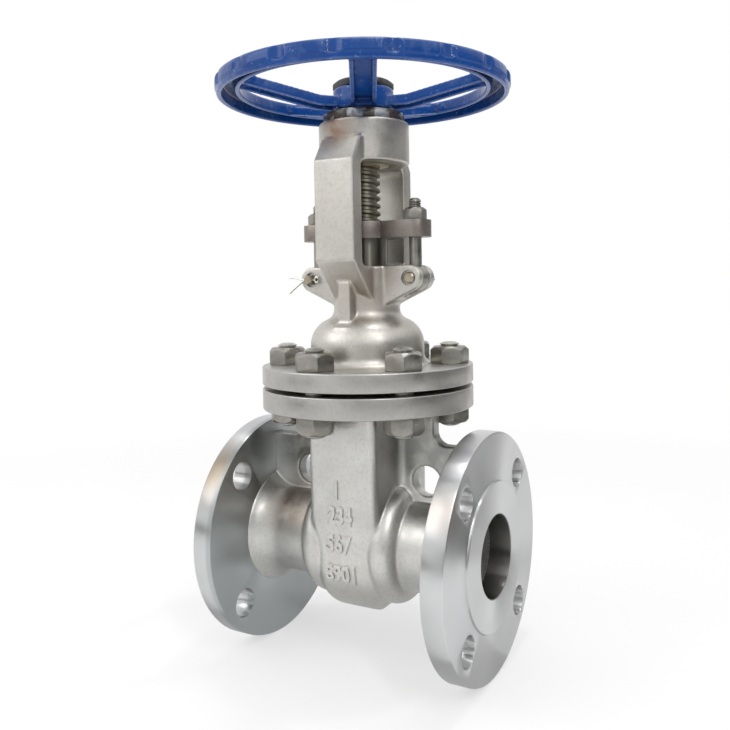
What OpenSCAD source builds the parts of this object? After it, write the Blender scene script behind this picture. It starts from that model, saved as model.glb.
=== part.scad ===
// Flanged gate valve with a bolted bonnet, an outside screw and yoke, and a rising stem.
// X runs along the pipe, Y across it and Z up the stem. The origin is the centre of the
// inlet's raised face. Heights are counted from the pipe's axis.

/* [Pipe ends] */
// Distance between the two raised faces
face_to_face = 178; // [170:1:190]
// Diameter of the flow bore
bore_d = 50.8; // [46:0.1:52]
// Outside diameter of an end flange
end_flange_d = 152.4; // [148:0.2:160]
// Thickness of an end flange behind its raised face
end_flange_t = 14.3; // [12:0.1:17]
// Diameter of a raised face
raised_face_d = 92.1; // [86:0.1:96]
// Height of a raised face
raised_face_h = 1.6; // [1:0.1:2.5]
// Diameter of the bolt circle
bolt_circle_d = 120.65; // [118:0.05:124]
// Diameter of a flange bolt hole
bolt_hole_d = 19.05; // [16:0.05:20]
// Number of bolt holes in an end flange
bolt_hole_count = 4; // [4:4:8]

/* [Body] */
// Outside diameter of the pipe necks
neck_d = 58.6; // [56:0.2:64]
// Length of the flare from a neck to its flange
flare_l = 18; // [12:0.5:20]
// Radius of the flare
flare_r = 22; // [20:0.5:26]
// Diameter of the swollen shoulder around the seat
shoulder_d = 77; // [74:0.5:82]
// Radius that rounds the shoulder off
shoulder_r = 10; // [8:0.5:13]
// Width of the gate chamber along the pipe
chamber_w = 49; // [46:0.5:54]
// Depth of the gate chamber from front to back
chamber_d = 74; // [72:0.5:78]
// Drop of the chamber's round bottom below the pipe's axis
chamber_drop = 8; // [6:0.1:12]
// Radius of the chamber's outer corners
chamber_corner_r = 4.5; // [2:0.5:6]
// Radius that rounds the chamber's bottom off along the pipe
chamber_bottom_r = 20; // [12:0.5:22]
// Thickness of the chamber's wall
chamber_wall = 6.5; // [5:0.1:7]
// Height of the body's top face above the pipe's axis
body_h = 102.1; // [96:0.1:110]
// Thickness of the side webs
web_t = 10; // [8:0.5:12]
// Reach of a web's upper part from the stem's axis
web_reach = 49.3; // [46:0.1:52]
// Height of a web's lower shelf
web_h = 66; // [60:0.5:70]
// Diameter of the round window in a web
web_hole_d = 19.6; // [12:0.1:20]
// Radius of the fillets between a web and the chamber
web_fillet_r = 5; // [3:0.5:7]

/* [Bonnet joint] */
// Diameter of the two bonnet flanges
bonnet_flange_d = 138.5; // [136:0.5:146]
// Thickness of the body's bonnet flange
body_flange_t = 13.3; // [11:0.1:16]
// Thickness of the bonnet's own flange
bonnet_flange_t = 11.8; // [10:0.1:15]
// Thickness of the gasket between them
gasket_t = 2.5; // [1.5:0.1:3]
// Outside diameter of the gasket
gasket_d = 92; // [88:0.5:94]
// Width of the gasket's ring
gasket_w = 9.6; // [7:0.1:9.8]
// Diameter of the bonnet's bolt circle
stud_circle_d = 108; // [106:0.5:112]
// Number of bonnet studs
stud_count = 6; // [4:1:8]
// Turn of the stud pattern from the pipe's axis
stud_turn = 23; // [15:1:30]
// Diameter of a bonnet stud
stud_d = 12.7; // [10:0.1:13]
// Width of a bonnet nut across its flats
stud_nut_af = 22; // [18:0.5:23]
// Height of a bonnet nut
stud_nut_h = 11; // [9:0.5:13]
// Length of stud that stands out of a nut
stud_tip = 3; // [1:0.5:5]

/* [Bonnet and yoke] */
// Diameter of the bonnet's dome
dome_d = 75; // [73:0.2:79]
// Radius of the dome's crown
dome_r = 18; // [16:0.5:18]
// Height of the dome above its flange
dome_h = 30.6; // [28:0.2:34]
// Thickness of the dome's wall
dome_wall = 6.8; // [5:0.1:8]
// Outside diameter of the stuffing box
box_d = 43.6; // [42:0.2:48]
// Height of the stuffing box's top above the bonnet flange
box_h = 63.6; // [60:0.2:70]
// Depth of the packing chamber
packing_chamber_l = 25; // [20:0.5:26]
// Distance between the outer faces of the yoke's arms
yoke_w = 78.6; // [74:0.2:84]
// Thickness of a yoke arm
yoke_arm_t = 10.6; // [8:0.2:12]
// Width of the yoke's arms along the pipe
yoke_arm_w = 28.5; // [26:0.5:34]
// Height of the yoke's window
window_h = 65.5; // [62:0.5:72]
// Radius of the window's corners
window_corner_r = 4.5; // [2:0.5:6]
// Diameter of the boss on top of the yoke
boss_d = 59; // [56:0.5:62]
// Height of the boss
boss_h = 27; // [24:0.5:30]
// Thickness of the rib under each arm
rib_t = 8.8; // [6:0.2:12]
// Distance between the two ribs' outer edges
rib_reach = 58; // [50:0.5:60]
// Distance between the outer ends of the pads at the ribs' feet
rib_pad_reach = 67; // [62:0.5:70]

/* [Gland] */
// Outside diameter of the gland
gland_d = 28.6; // [27:0.1:30]
// Height of the gland above the stuffing box
gland_h = 17.8; // [14:0.2:20]
// Depth of the gland inside the stuffing box
gland_depth = 8; // [5:0.5:10]
// Thickness of the gland flange
gland_flange_t = 10.8; // [9:0.1:14]
// Length of the gland flange beyond each eye bolt's axis
gland_flange_end = 10; // [8:0.1:11]
// Width of the gland flange at its ends
gland_flange_w = 20; // [18:0.5:24]
// Distance between the two eye bolts
eye_bolt_span = 72.8; // [70:0.2:76]
// Diameter of an eye bolt's shank
eye_bolt_d = 8; // [7:0.1:9]
// Outside diameter of an eye
eye_d = 16; // [14:0.2:16.4]
// Width of an eye across its faces
eye_w = 10; // [8:0.2:11]
// Drop of the eye's pin below the stuffing box's top
eye_drop = 8; // [7.8:0.1:10]
// Diameter of the pins that hold the eye bolts
eye_pin_d = 6; // [5:0.1:6.4]
// Thickness of each ear beside an eye
ear_t = 5.5; // [4:0.1:7]
// Outside diameter of an ear's round end
ear_d = 16.6; // [14.6:0.2:17]
// Width of an eye bolt nut across its flats
eye_nut_af = 13; // [12:0.5:15]
// Height of an eye bolt nut
eye_nut_h = 8; // [6:0.5:10]
// Length of eye bolt that stands out of its nut
eye_bolt_tip = 6.2; // [3:0.1:9]
// Diameter of the split pins' wire
split_pin_d = 1.7; // [1.2:0.1:2]
// Length of a split pin's shorter leg
split_pin_leg = 12.5; // [8:0.5:14]

/* [Stem and gate] */
// Diameter of the stem over its thread
stem_d = 20; // [18:0.1:20.2]
// Rise of the stem for one turn of the handwheel
thread_pitch = 5; // [4:0.5:6]
// Depth of the stem's thread
thread_depth = 2.2; // [1.5:0.1:2.8]
// Travel of the gate from closed to open
gate_travel = 56; // [54:0.5:58]
// Diameter of the wedge gate
gate_d = 58; // [56:0.2:60]
// Thickness of the gate at the pipe's axis
gate_t = 22; // [20:0.2:23]
// Slope of each of the gate's faces
gate_slope = 5; // [3:0.5:6]
// Thickness of the seat rings' wall
seat_wall = 5.6; // [4.6:0.1:6.4]

/* [Handwheel] */
// Diameter of the handwheel over its finger grips
wheel_d = 191; // [180:1:205]
// Number of finger hollows around the rim
hollow_count = 18; // [12:1:20]
// Radius of a finger hollow
hollow_r = 7.5; // [6:0.5:9]
// Depth of a finger hollow
hollow_depth = 2.6; // [1.6:0.1:3.2]
// Width of the rim's channel from its inner lip to its plain band
rim_w = 14.8; // [12:0.2:18]
// Height of the rim's outer lip
rim_h = 11.8; // [10:0.2:16]
// Height of the rim's inner lip
inner_lip_h = 8.8; // [6:0.2:9.4]
// Height of the plain band under the finger grips
plain_lip_h = 3.6; // [2:0.2:5]
// Width of the bevel on the rim's upper edge
rim_bevel = 3.4; // [1:0.2:4]
// Thickness of the channel's walls
rim_wall = 3.4; // [3:0.1:4.4]
// Rise of the rim's lower edge above the hub's bottom
rim_rise = 8.4; // [6:0.2:12]
// Number of spokes
spoke_count = 5; // [3:1:6]
// Direction of the first spoke
spoke_turn = -60; // [-90:1:0]
// Width of a spoke
spoke_w = 16; // [12:0.5:20]
// Height of a spoke
spoke_h = 6.5; // [5:0.5:9]
// Thickness of a spoke's ribs
spoke_wall = 2.6; // [1.6:0.1:3.2]
// Distance from the stem's axis to where a spoke starts to rise
spoke_knee = 31; // [26:0.5:36]
// Diameter of the hub
hub_d = 39.6; // [37:0.1:46]
// Height of the hub
hub_h = 14; // [12:0.5:20]
// Height of the retainer ring on the boss
retainer_h = 6.5; // [5:0.5:9]
// Diameter of the retainer ring
retainer_d = 53; // [50:0.5:55]
// Width of the wheel nut across its flats
wheel_nut_af = 34.5; // [32:0.5:38]
// Height of the wheel nut
wheel_nut_h = 5.5; // [4.5:0.5:12]
// Outside diameter of the yoke sleeve
sleeve_d = 32; // [29:0.2:33]
// Diameter of the sleeve's thread under the wheel nut
sleeve_thread_d = 27; // [26:0.2:28]

/* [Hidden] */
// Clearances: between a thread and its nut, a pin and its hole, a turning piece and its
// bearing, a stud and the flange it passes, and the gate and its seats.
thread_gap = 0.1;
pin_gap = 0.2;
bearing_gap = 0.15;
stem_gap = 0.3;
stud_gap = 0.8;
seat_gap = 0.2;
// Pieces that are fused reach this far into each other.
joint_depth = 1;
$fn = 96;

// Places along the pipe
half_length = face_to_face / 2;
flange_back = half_length - raised_face_h - end_flange_t;
chamber_half = chamber_w / 2;
cavity_half = chamber_half - chamber_wall;
cavity_d = chamber_d - 2 * chamber_wall;
seat_recess = chamber_wall / 2;
seat_d = bore_d + 2 * seat_wall;

// Heights, from the pipe's axis up
body_flange_bottom = body_h - body_flange_t;
bonnet_bottom = body_h + gasket_t;
bonnet_flange_top = bonnet_bottom + bonnet_flange_t;
dome_top = bonnet_flange_top + dome_h;
crown_z = dome_top - dome_r;
cavity_top = dome_top - dome_wall;
box_top = bonnet_flange_top + box_h;
box_floor = box_top - packing_chamber_l;
window_top = box_top + window_h;
boss_top = window_top + boss_h;
retainer_top = boss_top + retainer_h;
hub_bottom = retainer_top + 2;
hub_top = hub_bottom + hub_h;
wheel_nut_top = hub_top + wheel_nut_h;
rim_bottom = hub_bottom + rim_rise;
rim_top = rim_bottom + rim_h;
spoke_clearance = 1.4;
spoke_inset = 1.8;
eye_z = box_top - eye_drop;
pin_head_d = eye_pin_d + 1.2;
pin_seat_d = eye_pin_d + 4;
pin_seat_depth = 2.2;
plain_band_inset = 1;
hollow_foot = 0.5;
gland_flange_bottom = box_top + gland_h;
gland_flange_top = gland_flange_bottom + gland_flange_t;
eye_bolt_top = gland_flange_top + eye_nut_h + eye_bolt_tip;

// Sleeve collar under the retainer's spigot
collar_h = 7;
collar_step = 5;
spigot_h = 6.35;
collar_d = sleeve_d + 2 * collar_step;
collar_z = boss_top - spigot_h - bearing_gap - collar_h;
spigot_bottom = collar_z + collar_h + bearing_gap;

// Stem, and the gate's head that hangs on it
stem_top = wheel_nut_top - 1;
stem_head_z = gate_d / 2 + 7;
stem_head_h = 5;
stem_neck_d = 0.8 * stem_d;
gate_lip_h = 5;
gate_head_top = stem_head_z + stem_head_h + gate_lip_h;
backseat_h = 6;
backseat_z = cavity_top - gate_travel - backseat_h - 0.5;
thread_bottom = window_top - gate_travel + 2;

STUDS = [1 : stud_count];

// ---- Shared shapes -------------------------------------------------------------------

// Moves what is modelled around the stem's axis to its place from the inlet face.
module on_stem_axis() {
    translate([half_length, 0, 0]) children();
}

// Lays a shape that stands along Z along the pipe.
module along_pipe() {
    rotate([0, 90, 0]) children();
}

// Rectangle around the origin with round corners.
module rounded_rectangle(size_x, size_y, r) {
    square([size_x - 2 * r, size_y], center = true);
    square([size_x, size_y - 2 * r], center = true);
    for (x = [-1, 1], y = [-1, 1])
        translate([x * (size_x / 2 - r), y * (size_y / 2 - r)]) circle(r);
}

// Ring that stands on the XY plane.
module ring(outer_d, inner_d, h) {
    difference() {
        cylinder(d = outer_d, h = h);
        translate([0, 0, -joint_depth]) cylinder(d = inner_d, h = h + 2 * joint_depth);
    }
}

// Hexagon nut with its corners turned off at both ends.
module hex_nut(af, hole_d, h) {
    corner_r = af / 2 / cos(30);
    bevel = (corner_r - af / 2) * 0.6;
    difference() {
        intersection() {
            cylinder(r = corner_r, h = h, $fn = 6);
            rotate_extrude()
                polygon([[0, 0], [af / 2, 0], [corner_r, bevel], [corner_r, h - bevel],
                         [af / 2, h], [0, h]]);
        }
        translate([0, 0, -joint_depth]) cylinder(d = hole_d, h = h + 2 * joint_depth);
    }
}

// Repeats a shape on the bonnet's bolt circle, at one stud's place.
module at_stud(i) {
    rotate([0, 0, stud_turn + i * 360 / stud_count])
        translate([stud_circle_d / 2, 0, 0]) children();
}

// Holes for every bonnet stud between two heights.
module stud_holes(z0, z1) {
    for (i = STUDS)
        at_stud(i) translate([0, 0, z0]) cylinder(d = stud_d + 2 * stud_gap, h = z1 - z0);
}

// Space of the gate chamber: straight above, round below. Grown by a wall it is the outside.
module chamber_shape(w, d, top, r, bottom_r) {
    bottom = -chamber_drop - d / 2;
    intersection() {
        union() {
            translate([0, 0, -chamber_drop])
                linear_extrude(top + chamber_drop) rounded_rectangle(w, d, r);
            translate([0, 0, -chamber_drop])
                along_pipe() rotate_extrude() intersection() {
                    rounded_rectangle(d, w, r);
                    translate([0, -w / 2]) square([d / 2, w]);
                }
        }
        rotate([90, 0, 0]) linear_extrude(2 * d, center = true)
            translate([0, (bottom + top + bottom_r) / 2])
                rounded_rectangle(w, top + bottom_r - bottom, bottom_r);
    }
}

// ---- Body ----------------------------------------------------------------------------

module end_flange() {
    translate([0, 0, flange_back]) cylinder(d = end_flange_d, h = end_flange_t);
    translate([0, 0, flange_back]) cylinder(d = raised_face_d, h = end_flange_t + raised_face_h);
}

// Half section of a pipe neck: the shoulder, the plain neck and the flare.
module neck_profile() {
    neck_r = neck_d / 2;
    flare_start = flange_back - flare_l;
    square([neck_r, flange_back + joint_depth]);
    translate([shoulder_d / 2 - shoulder_r, chamber_half]) circle(shoulder_r);
    difference() {
        translate([neck_r - joint_depth, flare_start])
            square([flare_r, flare_l + joint_depth]);
        translate([neck_r + flare_r, flare_start]) circle(flare_r);
    }
}

// Web from the chamber to one end flange, with its round window.
module web() {
    step_r = 8;
    rotate([90, 0, 0]) linear_extrude(web_t, center = true) difference() {
        union() {
            square([flange_back + joint_depth, web_h]);
            square([web_reach, body_flange_bottom + joint_depth]);
            difference() {
                translate([web_reach - joint_depth, web_h - joint_depth])
                    square(step_r + joint_depth);
                translate([web_reach + step_r, web_h + step_r]) circle(step_r);
            }
        }
        translate([web_reach - 5.3, (neck_d / 2 + web_h) / 2 - 5]) circle(d = web_hole_d);
    }
}

// Hollow fillets on both sides of a web, where it leaves the chamber.
module web_fillets() {
    linear_extrude(body_flange_bottom + joint_depth) translate([chamber_half, 0]) difference() {
        translate([-joint_depth, -web_t / 2 - web_fillet_r])
            square([web_fillet_r + joint_depth, web_t + 2 * web_fillet_r]);
        for (side = [-1, 1])
            translate([web_fillet_r, side * (web_t / 2 + web_fillet_r)]) circle(web_fillet_r);
    }
}

module flange_bolt_holes() {
    for (i = [0 : bolt_hole_count - 1])
        rotate([0, 0, (i + 0.5) * 360 / bolt_hole_count])
            translate([bolt_circle_d / 2, 0, flange_back - joint_depth])
                cylinder(d = bolt_hole_d, h = end_flange_t + 2 * joint_depth);
}

module body() {
    on_stem_axis() color("#b9bab5") difference() {
        union() {
            chamber_shape(chamber_w, chamber_d, body_flange_bottom + joint_depth,
                          chamber_corner_r, chamber_bottom_r);
            translate([0, 0, body_flange_bottom])
                cylinder(d = bonnet_flange_d, h = body_flange_t);
            for (side = [0, 1]) mirror([side, 0, 0]) {
                along_pipe() rotate_extrude() neck_profile();
                along_pipe() end_flange();
                web();
                web_fillets();
            }
        }
        chamber_shape(2 * cavity_half, cavity_d, body_h + joint_depth, 2,
                      chamber_bottom_r - chamber_wall);
        for (side = [0, 1]) mirror([side, 0, 0]) along_pipe() {
            cylinder(d = bore_d, h = half_length + joint_depth);
            cylinder(d = seat_d + 2 * pin_gap, h = cavity_half + seat_recess);
            flange_bolt_holes();
        }
        stud_holes(body_flange_bottom - joint_depth, body_h + joint_depth);
    }
}

// Seat ring on the +X side of the gate, its face sloped to meet the wedge.
module seat_ring() {
    color("#a9aaa6") difference() {
        along_pipe() ring(seat_d, bore_d, cavity_half + seat_recess);
        translate([gate_t / 2 + seat_gap, 0, 0]) rotate([0, gate_slope, 0])
            translate([-chamber_w, -seat_d, -seat_d]) cube([chamber_w, 2 * seat_d, 2 * seat_d]);
    }
}

// ---- Gate and stem -------------------------------------------------------------------

module gate() {
    head_w = gate_t + 2;
    head_d = 34;
    slot_d = stem_d + 2;
    on_stem_axis() color("#a9aaa6") difference() {
        union() {
            intersection() {
                along_pipe() cylinder(d = gate_d, h = 2 * gate_t, center = true);
                for_wedge_faces();
            }
            translate([-head_w / 2, -head_d / 2, gate_d / 2 - 7])
                cube([head_w, head_d, gate_head_top - gate_d / 2 + 7]);
        }
        translate([-slot_d / 2, -head_d, stem_head_z - pin_gap])
            cube([slot_d, 2 * head_d, stem_head_h + 2 * pin_gap]);
        translate([-stem_neck_d / 2 - pin_gap, -head_d, stem_head_z])
            cube([stem_neck_d + 2 * pin_gap, 2 * head_d, gate_head_top]);
    }
}

// Wedge between the gate's two sloped faces.
module for_wedge_faces() {
    half = gate_t / 2;
    rise = gate_d * tan(gate_slope);
    rotate([90, 0, 0]) linear_extrude(2 * gate_d, center = true)
        polygon([[-half + rise, -gate_d], [half - rise, -gate_d],
                 [half + rise, gate_d], [-half - rise, gate_d]]);
}

// Half section of the threaded length, with one groove for each turn.
module thread_profile() {
    crest_r = stem_d / 2;
    root_r = crest_r - thread_depth;
    turns = floor((stem_top - thread_bottom - thread_pitch) / thread_pitch);
    difference() {
        translate([0, thread_bottom - joint_depth])
            square([crest_r, stem_top - thread_bottom + joint_depth]);
        for (i = [0 : turns])
            translate([0, thread_bottom + i * thread_pitch])
                polygon([[root_r, 0.19 * thread_pitch], [crest_r + 1, 0],
                         [crest_r + 1, 0.69 * thread_pitch], [root_r, 0.5 * thread_pitch]]);
    }
}

module stem() {
    on_stem_axis() color("#8f8b78") {
        rotate_extrude() {
            translate([0, stem_head_z]) square([stem_d / 2, stem_head_h]);
            translate([0, stem_head_z])
                square([stem_neck_d / 2, gate_head_top - stem_head_z + 2]);
            translate([0, gate_head_top + 1])
                square([stem_d / 2, thread_bottom - gate_head_top]);
            polygon([[0, backseat_z], [stem_d / 2 + 3, backseat_z],
                     [stem_d / 2 + 3, backseat_z + backseat_h - 3],
                     [stem_d / 2, backseat_z + backseat_h], [0, backseat_z + backseat_h]]);
            thread_profile();
        }
    }
}

// ---- Bonnet --------------------------------------------------------------------------

module bonnet_gasket() {
    on_stem_axis() color("#2c2c2b") translate([0, 0, body_h])
        ring(gasket_d, gasket_d - 2 * gasket_w, gasket_t);
}

// Half section of the bonnet's outside: flange foot, dome, crown and stuffing box.
module bonnet_profile() {
    foot_r = 6;
    fillet_r = 7;
    dome_half = dome_d / 2;
    box_half = box_d / 2;
    crown_x = dome_half - dome_r;
    fillet_x = box_half + fillet_r;
    lap = dome_r + fillet_r - 0.05;
    fillet_z = crown_z + sqrt(lap * lap - (fillet_x - crown_x) * (fillet_x - crown_x));
    meeting_x = crown_x + (fillet_x - crown_x) * dome_r / lap;
    meeting_z = crown_z + (fillet_z - crown_z) * dome_r / lap;
    translate([0, bonnet_bottom]) square([dome_half, crown_z - bonnet_bottom]);
    translate([0, bonnet_bottom]) square([crown_x, dome_top - bonnet_bottom]);
    translate([crown_x, crown_z]) circle(dome_r);
    translate([0, bonnet_bottom]) square([box_half, box_top - bonnet_bottom]);
    difference() {
        translate([dome_half - joint_depth, bonnet_flange_top - joint_depth])
            square(foot_r + joint_depth);
        translate([dome_half + foot_r, bonnet_flange_top + foot_r]) circle(foot_r);
    }
    difference() {
        translate([box_half - joint_depth, meeting_z - joint_depth])
            square([meeting_x - box_half + joint_depth, fillet_z - meeting_z + joint_depth]);
        translate([fillet_x, fillet_z]) circle(fillet_r);
    }
}

// Half section of the bonnet's hollow and the stem's way through it.
module bonnet_hollow_profile() {
    hollow_r = dome_d / 2 - dome_wall;
    crown_x = dome_d / 2 - dome_r;
    translate([0, bonnet_bottom - joint_depth])
        square([hollow_r, crown_z - bonnet_bottom + joint_depth]);
    translate([0, bonnet_bottom]) square([crown_x, cavity_top - bonnet_bottom]);
    translate([crown_x, crown_z]) circle(dome_r - dome_wall);
    square([stem_d / 2 + stem_gap, boss_top]);
    translate([0, box_floor]) square([gland_d / 2 + pin_gap, box_top - box_floor + 1]);
}

// Front outline of the yoke, with sloped shoulders at both ends of its arms.
module yoke_outline() {
    half = yoke_w / 2;
    foot_half = yoke_arm_w / 2;
    foot_drop = 25.5;
    arm_rise = 3;
    shoulder_rise = 15;
    foot_z = box_top - foot_drop;
    polygon([[-foot_half, foot_z], [foot_half, foot_z],
             [half, box_top + arm_rise], [half, window_top],
             [boss_d / 2, window_top + shoulder_rise], [-boss_d / 2, window_top + shoulder_rise],
             [-half, window_top], [-half, box_top + arm_rise]]);
}

module yoke() {
    window_w = yoke_w - 2 * yoke_arm_t;
    rib_pad_step = 2;
    rib_pad_h = 13;
    difference() {
        union() {
            rotate([90, 0, 90]) linear_extrude(yoke_arm_w, center = true) yoke_outline();
            translate([0, 0, window_top]) cylinder(d = boss_d, h = boss_h);
        }
        translate([0, 0, box_top + window_h / 2]) rotate([90, 0, 90])
            linear_extrude(yoke_arm_w + 2 * joint_depth, center = true)
                rounded_rectangle(window_w, window_h, window_corner_r);
    }
    translate([-rib_t / 2, -rib_reach / 2, crown_z])
        cube([rib_t, rib_reach, box_top - 10 - crown_z]);
    translate([-rib_t / 2 - rib_pad_step, -rib_pad_reach / 2, crown_z])
        cube([rib_t + 2 * rib_pad_step, rib_pad_reach, rib_pad_h]);
}

// Outline of the ears on the +X side, from the stuffing box to the round end.
module ear_outline() {
    root_depth = 7;
    root_drop = 27;
    root = [box_d / 2 - root_depth, box_top - root_drop];
    eye = [eye_bolt_span / 2, eye_z];
    reach = norm(eye - root);
    lean = atan2(eye[1] - root[1], eye[0] - root[0]) - asin(ear_d / 2 / reach);
    edge = sqrt(reach * reach - ear_d * ear_d / 4);
    polygon([root, root + edge * [cos(lean), sin(lean)], eye,
             [eye_bolt_span / 2, eye_z + ear_d / 2], [root[0], eye_z + ear_d / 2]]);
    translate(eye) circle(d = ear_d);
}

// Pair of ears with the slot that the eye bolt swings in.
module ears() {
    slot_w = eye_w + 1;
    rotate([90, 0, 0]) difference() {
        linear_extrude(slot_w + 2 * ear_t, center = true) ear_outline();
        translate([eye_bolt_span / 2 - eye_d / 2 - 1.5, 0, -slot_w / 2])
            cube([eye_bolt_span, 2 * box_top, slot_w]);
        translate([eye_bolt_span / 2, eye_z, 0])
            cylinder(d = eye_pin_d + 2 * pin_gap, h = 2 * ear_d, center = true);
        for (side = [0, 1]) mirror([0, 0, side])
            translate([eye_bolt_span / 2, eye_z, slot_w / 2 + ear_t - pin_seat_depth])
                cylinder(d = pin_seat_d, h = ear_t);
    }
}

module bonnet() {
    on_stem_axis() color("#b9bab5") difference() {
        union() {
            translate([0, 0, bonnet_bottom])
                cylinder(d = bonnet_flange_d, h = bonnet_flange_t);
            rotate_extrude() bonnet_profile();
            yoke();
            for (side = [0, 1]) mirror([side, 0, 0]) ears();
        }
        rotate_extrude() bonnet_hollow_profile();
        translate([0, 0, window_top - joint_depth])
            cylinder(d = sleeve_d + 2 * bearing_gap, h = boss_h + 2 * joint_depth);
        translate([0, 0, collar_z - bearing_gap])
            cylinder(d = collar_d + 2 * stem_gap, h = boss_h);
        stud_holes(bonnet_bottom - joint_depth, bonnet_flange_top + joint_depth);
    }
}

// ---- Bonnet bolting ------------------------------------------------------------------

module bonnet_stud(i) {
    z0 = body_flange_bottom - stud_nut_h - stud_tip;
    z1 = bonnet_flange_top + stud_nut_h + stud_tip;
    on_stem_axis() color("#8d8a84") at_stud(i) translate([0, 0, z0])
        cylinder(d = stud_d, h = z1 - z0);
}

module upper_nut(i) {
    on_stem_axis() color("#8d8a84") at_stud(i) translate([0, 0, bonnet_flange_top])
        hex_nut(stud_nut_af, stud_d + 2 * thread_gap, stud_nut_h);
}

module lower_nut(i) {
    on_stem_axis() color("#8d8a84") at_stud(i)
        translate([0, 0, body_flange_bottom - stud_nut_h])
            hex_nut(stud_nut_af, stud_d + 2 * thread_gap, stud_nut_h);
}

// ---- Gland ---------------------------------------------------------------------------

module stem_packing() {
    on_stem_axis() color("#232323") translate([0, 0, box_floor])
        ring(gland_d, stem_d + 2 * stem_gap, box_top - gland_depth - box_floor);
}

module gland() {
    on_stem_axis() color("#9b9a94") translate([0, 0, box_top - gland_depth])
        ring(gland_d, stem_d + 2 * stem_gap, gland_h + gland_depth);
}

module gland_flange() {
    on_stem_axis() color("#847e79") translate([0, 0, gland_flange_bottom])
        linear_extrude(gland_flange_t) difference() {
            union() {
                rounded_rectangle(eye_bolt_span + 2 * gland_flange_end, gland_flange_w,
                                  gland_flange_w / 2 - 1);
                circle(d = gland_d + 10);
            }
            circle(d = stem_d + 2 * stem_gap);
            for (side = [-1, 1])
                translate([side * eye_bolt_span / 2, 0]) circle(d = eye_bolt_d + 2 * stud_gap);
        }
}

// Places a shape at one eye's centre; side is -1 on the left and 1 on the right.
module at_eye(side) {
    on_stem_axis() translate([side * eye_bolt_span / 2, 0, eye_z]) children();
}

module eye_bolt(side) {
    at_eye(side) color("#8d8a84") difference() {
        union() {
            rotate([90, 0, 0]) cylinder(d = eye_d, h = eye_w, center = true);
            cylinder(d = eye_bolt_d, h = eye_bolt_top - eye_z);
        }
        rotate([90, 0, 0])
            cylinder(d = eye_pin_d + 2 * pin_gap, h = 2 * eye_w, center = true);
    }
}

// Pin through both ears: its head is sunk in one of them, the split pin's hole is near
// the other end.
module eye_bolt_pin(side) {
    grip = eye_w + 1 + 2 * ear_t;
    at_eye(side) color("#9d9c97") rotate([-90 * side, 0, 0]) difference() {
        union() {
            translate([0, 0, -grip / 2])
                cylinder(d = eye_pin_d, h = grip + pin_gap + 3 * split_pin_d);
            translate([0, 0, -grip / 2])
                cylinder(d = pin_head_d, h = pin_seat_depth - pin_gap);
        }
        translate([0, 0, split_pin_offset()])
            rotate([0, 90, 0])
                cylinder(d = split_pin_d + 2 * thread_gap, h = 2 * eye_pin_d, center = true);
    }
}

// Distance of a split pin from the middle of its eye bolt.
function split_pin_offset() = (eye_w + 1) / 2 + ear_t + 1.2 * split_pin_d;

// Split pin: a loop on one side, a straight shank and two bent legs on the other.
module split_pin(side) {
    half = eye_pin_d / 2 + 1;
    at_eye(side) color("#b8b6ac") mirror([0, side > 0 ? 1 : 0, 0])
        translate([0, -split_pin_offset(), 0]) {
            rotate([0, 90, 0]) cylinder(d = split_pin_d, h = 2 * half, center = true);
            translate([-half, 0, 0]) rotate([0, -82, 0])
                cylinder(d = 0.8 * split_pin_d, h = split_pin_leg);
            translate([-half, 0, 0]) rotate([0, -126, 0])
                cylinder(d = 0.8 * split_pin_d, h = 1.2 * split_pin_leg);
            translate([half + 1.6, 0, 0]) rotate([90, 0, 0]) rotate_extrude()
                translate([1.8, 0]) circle(d = 0.8 * split_pin_d, $fn = 24);
        }
}

module eye_bolt_nut(side) {
    at_eye(side) color("#8d8a84") translate([0, 0, gland_flange_top - eye_z])
        hex_nut(eye_nut_af, eye_bolt_d + 2 * thread_gap, eye_nut_h);
}

// ---- Yoke sleeve and handwheel -------------------------------------------------------

module yoke_sleeve() {
    on_stem_axis() color("#8f8b78") difference() {
        union() {
            translate([0, 0, window_top]) cylinder(d = sleeve_d, h = hub_bottom - window_top);
            translate([0, 0, collar_z]) cylinder(d = collar_d, h = collar_h);
            translate([0, 0, window_top])
                cylinder(d = sleeve_thread_d, h = wheel_nut_top - window_top);
        }
        translate([0, 0, window_top - joint_depth])
            cylinder(d = stem_d + 2 * stem_gap, h = wheel_nut_top - window_top + 2 * joint_depth);
    }
}

module sleeve_retainer() {
    on_stem_axis() color("#4a4844") difference() {
        union() {
            translate([0, 0, boss_top]) cylinder(d = retainer_d, h = retainer_h);
            translate([0, 0, spigot_bottom])
                cylinder(d = collar_d + 2 * stem_gap - 2 * thread_gap,
                         h = boss_top - spigot_bottom + joint_depth);
        }
        translate([0, 0, spigot_bottom - joint_depth])
            cylinder(d = sleeve_d + 2 * bearing_gap, h = boss_h + retainer_h);
    }
}

// Half section of the channel rim, open underneath, with a plain band below the grips.
module rim_section() {
    outer_r = wheel_d / 2;
    band_r = outer_r - plain_band_inset;
    inner_r = band_r - rim_w;
    polygon([[band_r - rim_wall, 0], [band_r, 0], [band_r, plain_lip_h], [outer_r, plain_lip_h],
             [outer_r, rim_h - rim_bevel], [outer_r - rim_bevel, rim_h], [inner_r, rim_h],
             [inner_r, rim_h - inner_lip_h], [inner_r + rim_wall, rim_h - inner_lip_h],
             [inner_r + rim_wall, rim_h - rim_wall], [band_r - rim_wall, rim_h - rim_wall]]);
}

// Rim with a hollow for each finger; the hollows stop just above the plain band.
module wheel_rim() {
    difference() {
        rotate_extrude() rim_section();
        for (i = [0 : hollow_count - 1])
            rotate([0, 0, spoke_turn + (i + 0.5) * 360 / hollow_count])
                translate([wheel_d / 2 + hollow_r - hollow_depth, 0, plain_lip_h + hollow_foot])
                    cylinder(r = hollow_r, h = rim_h);
    }
}

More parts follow.
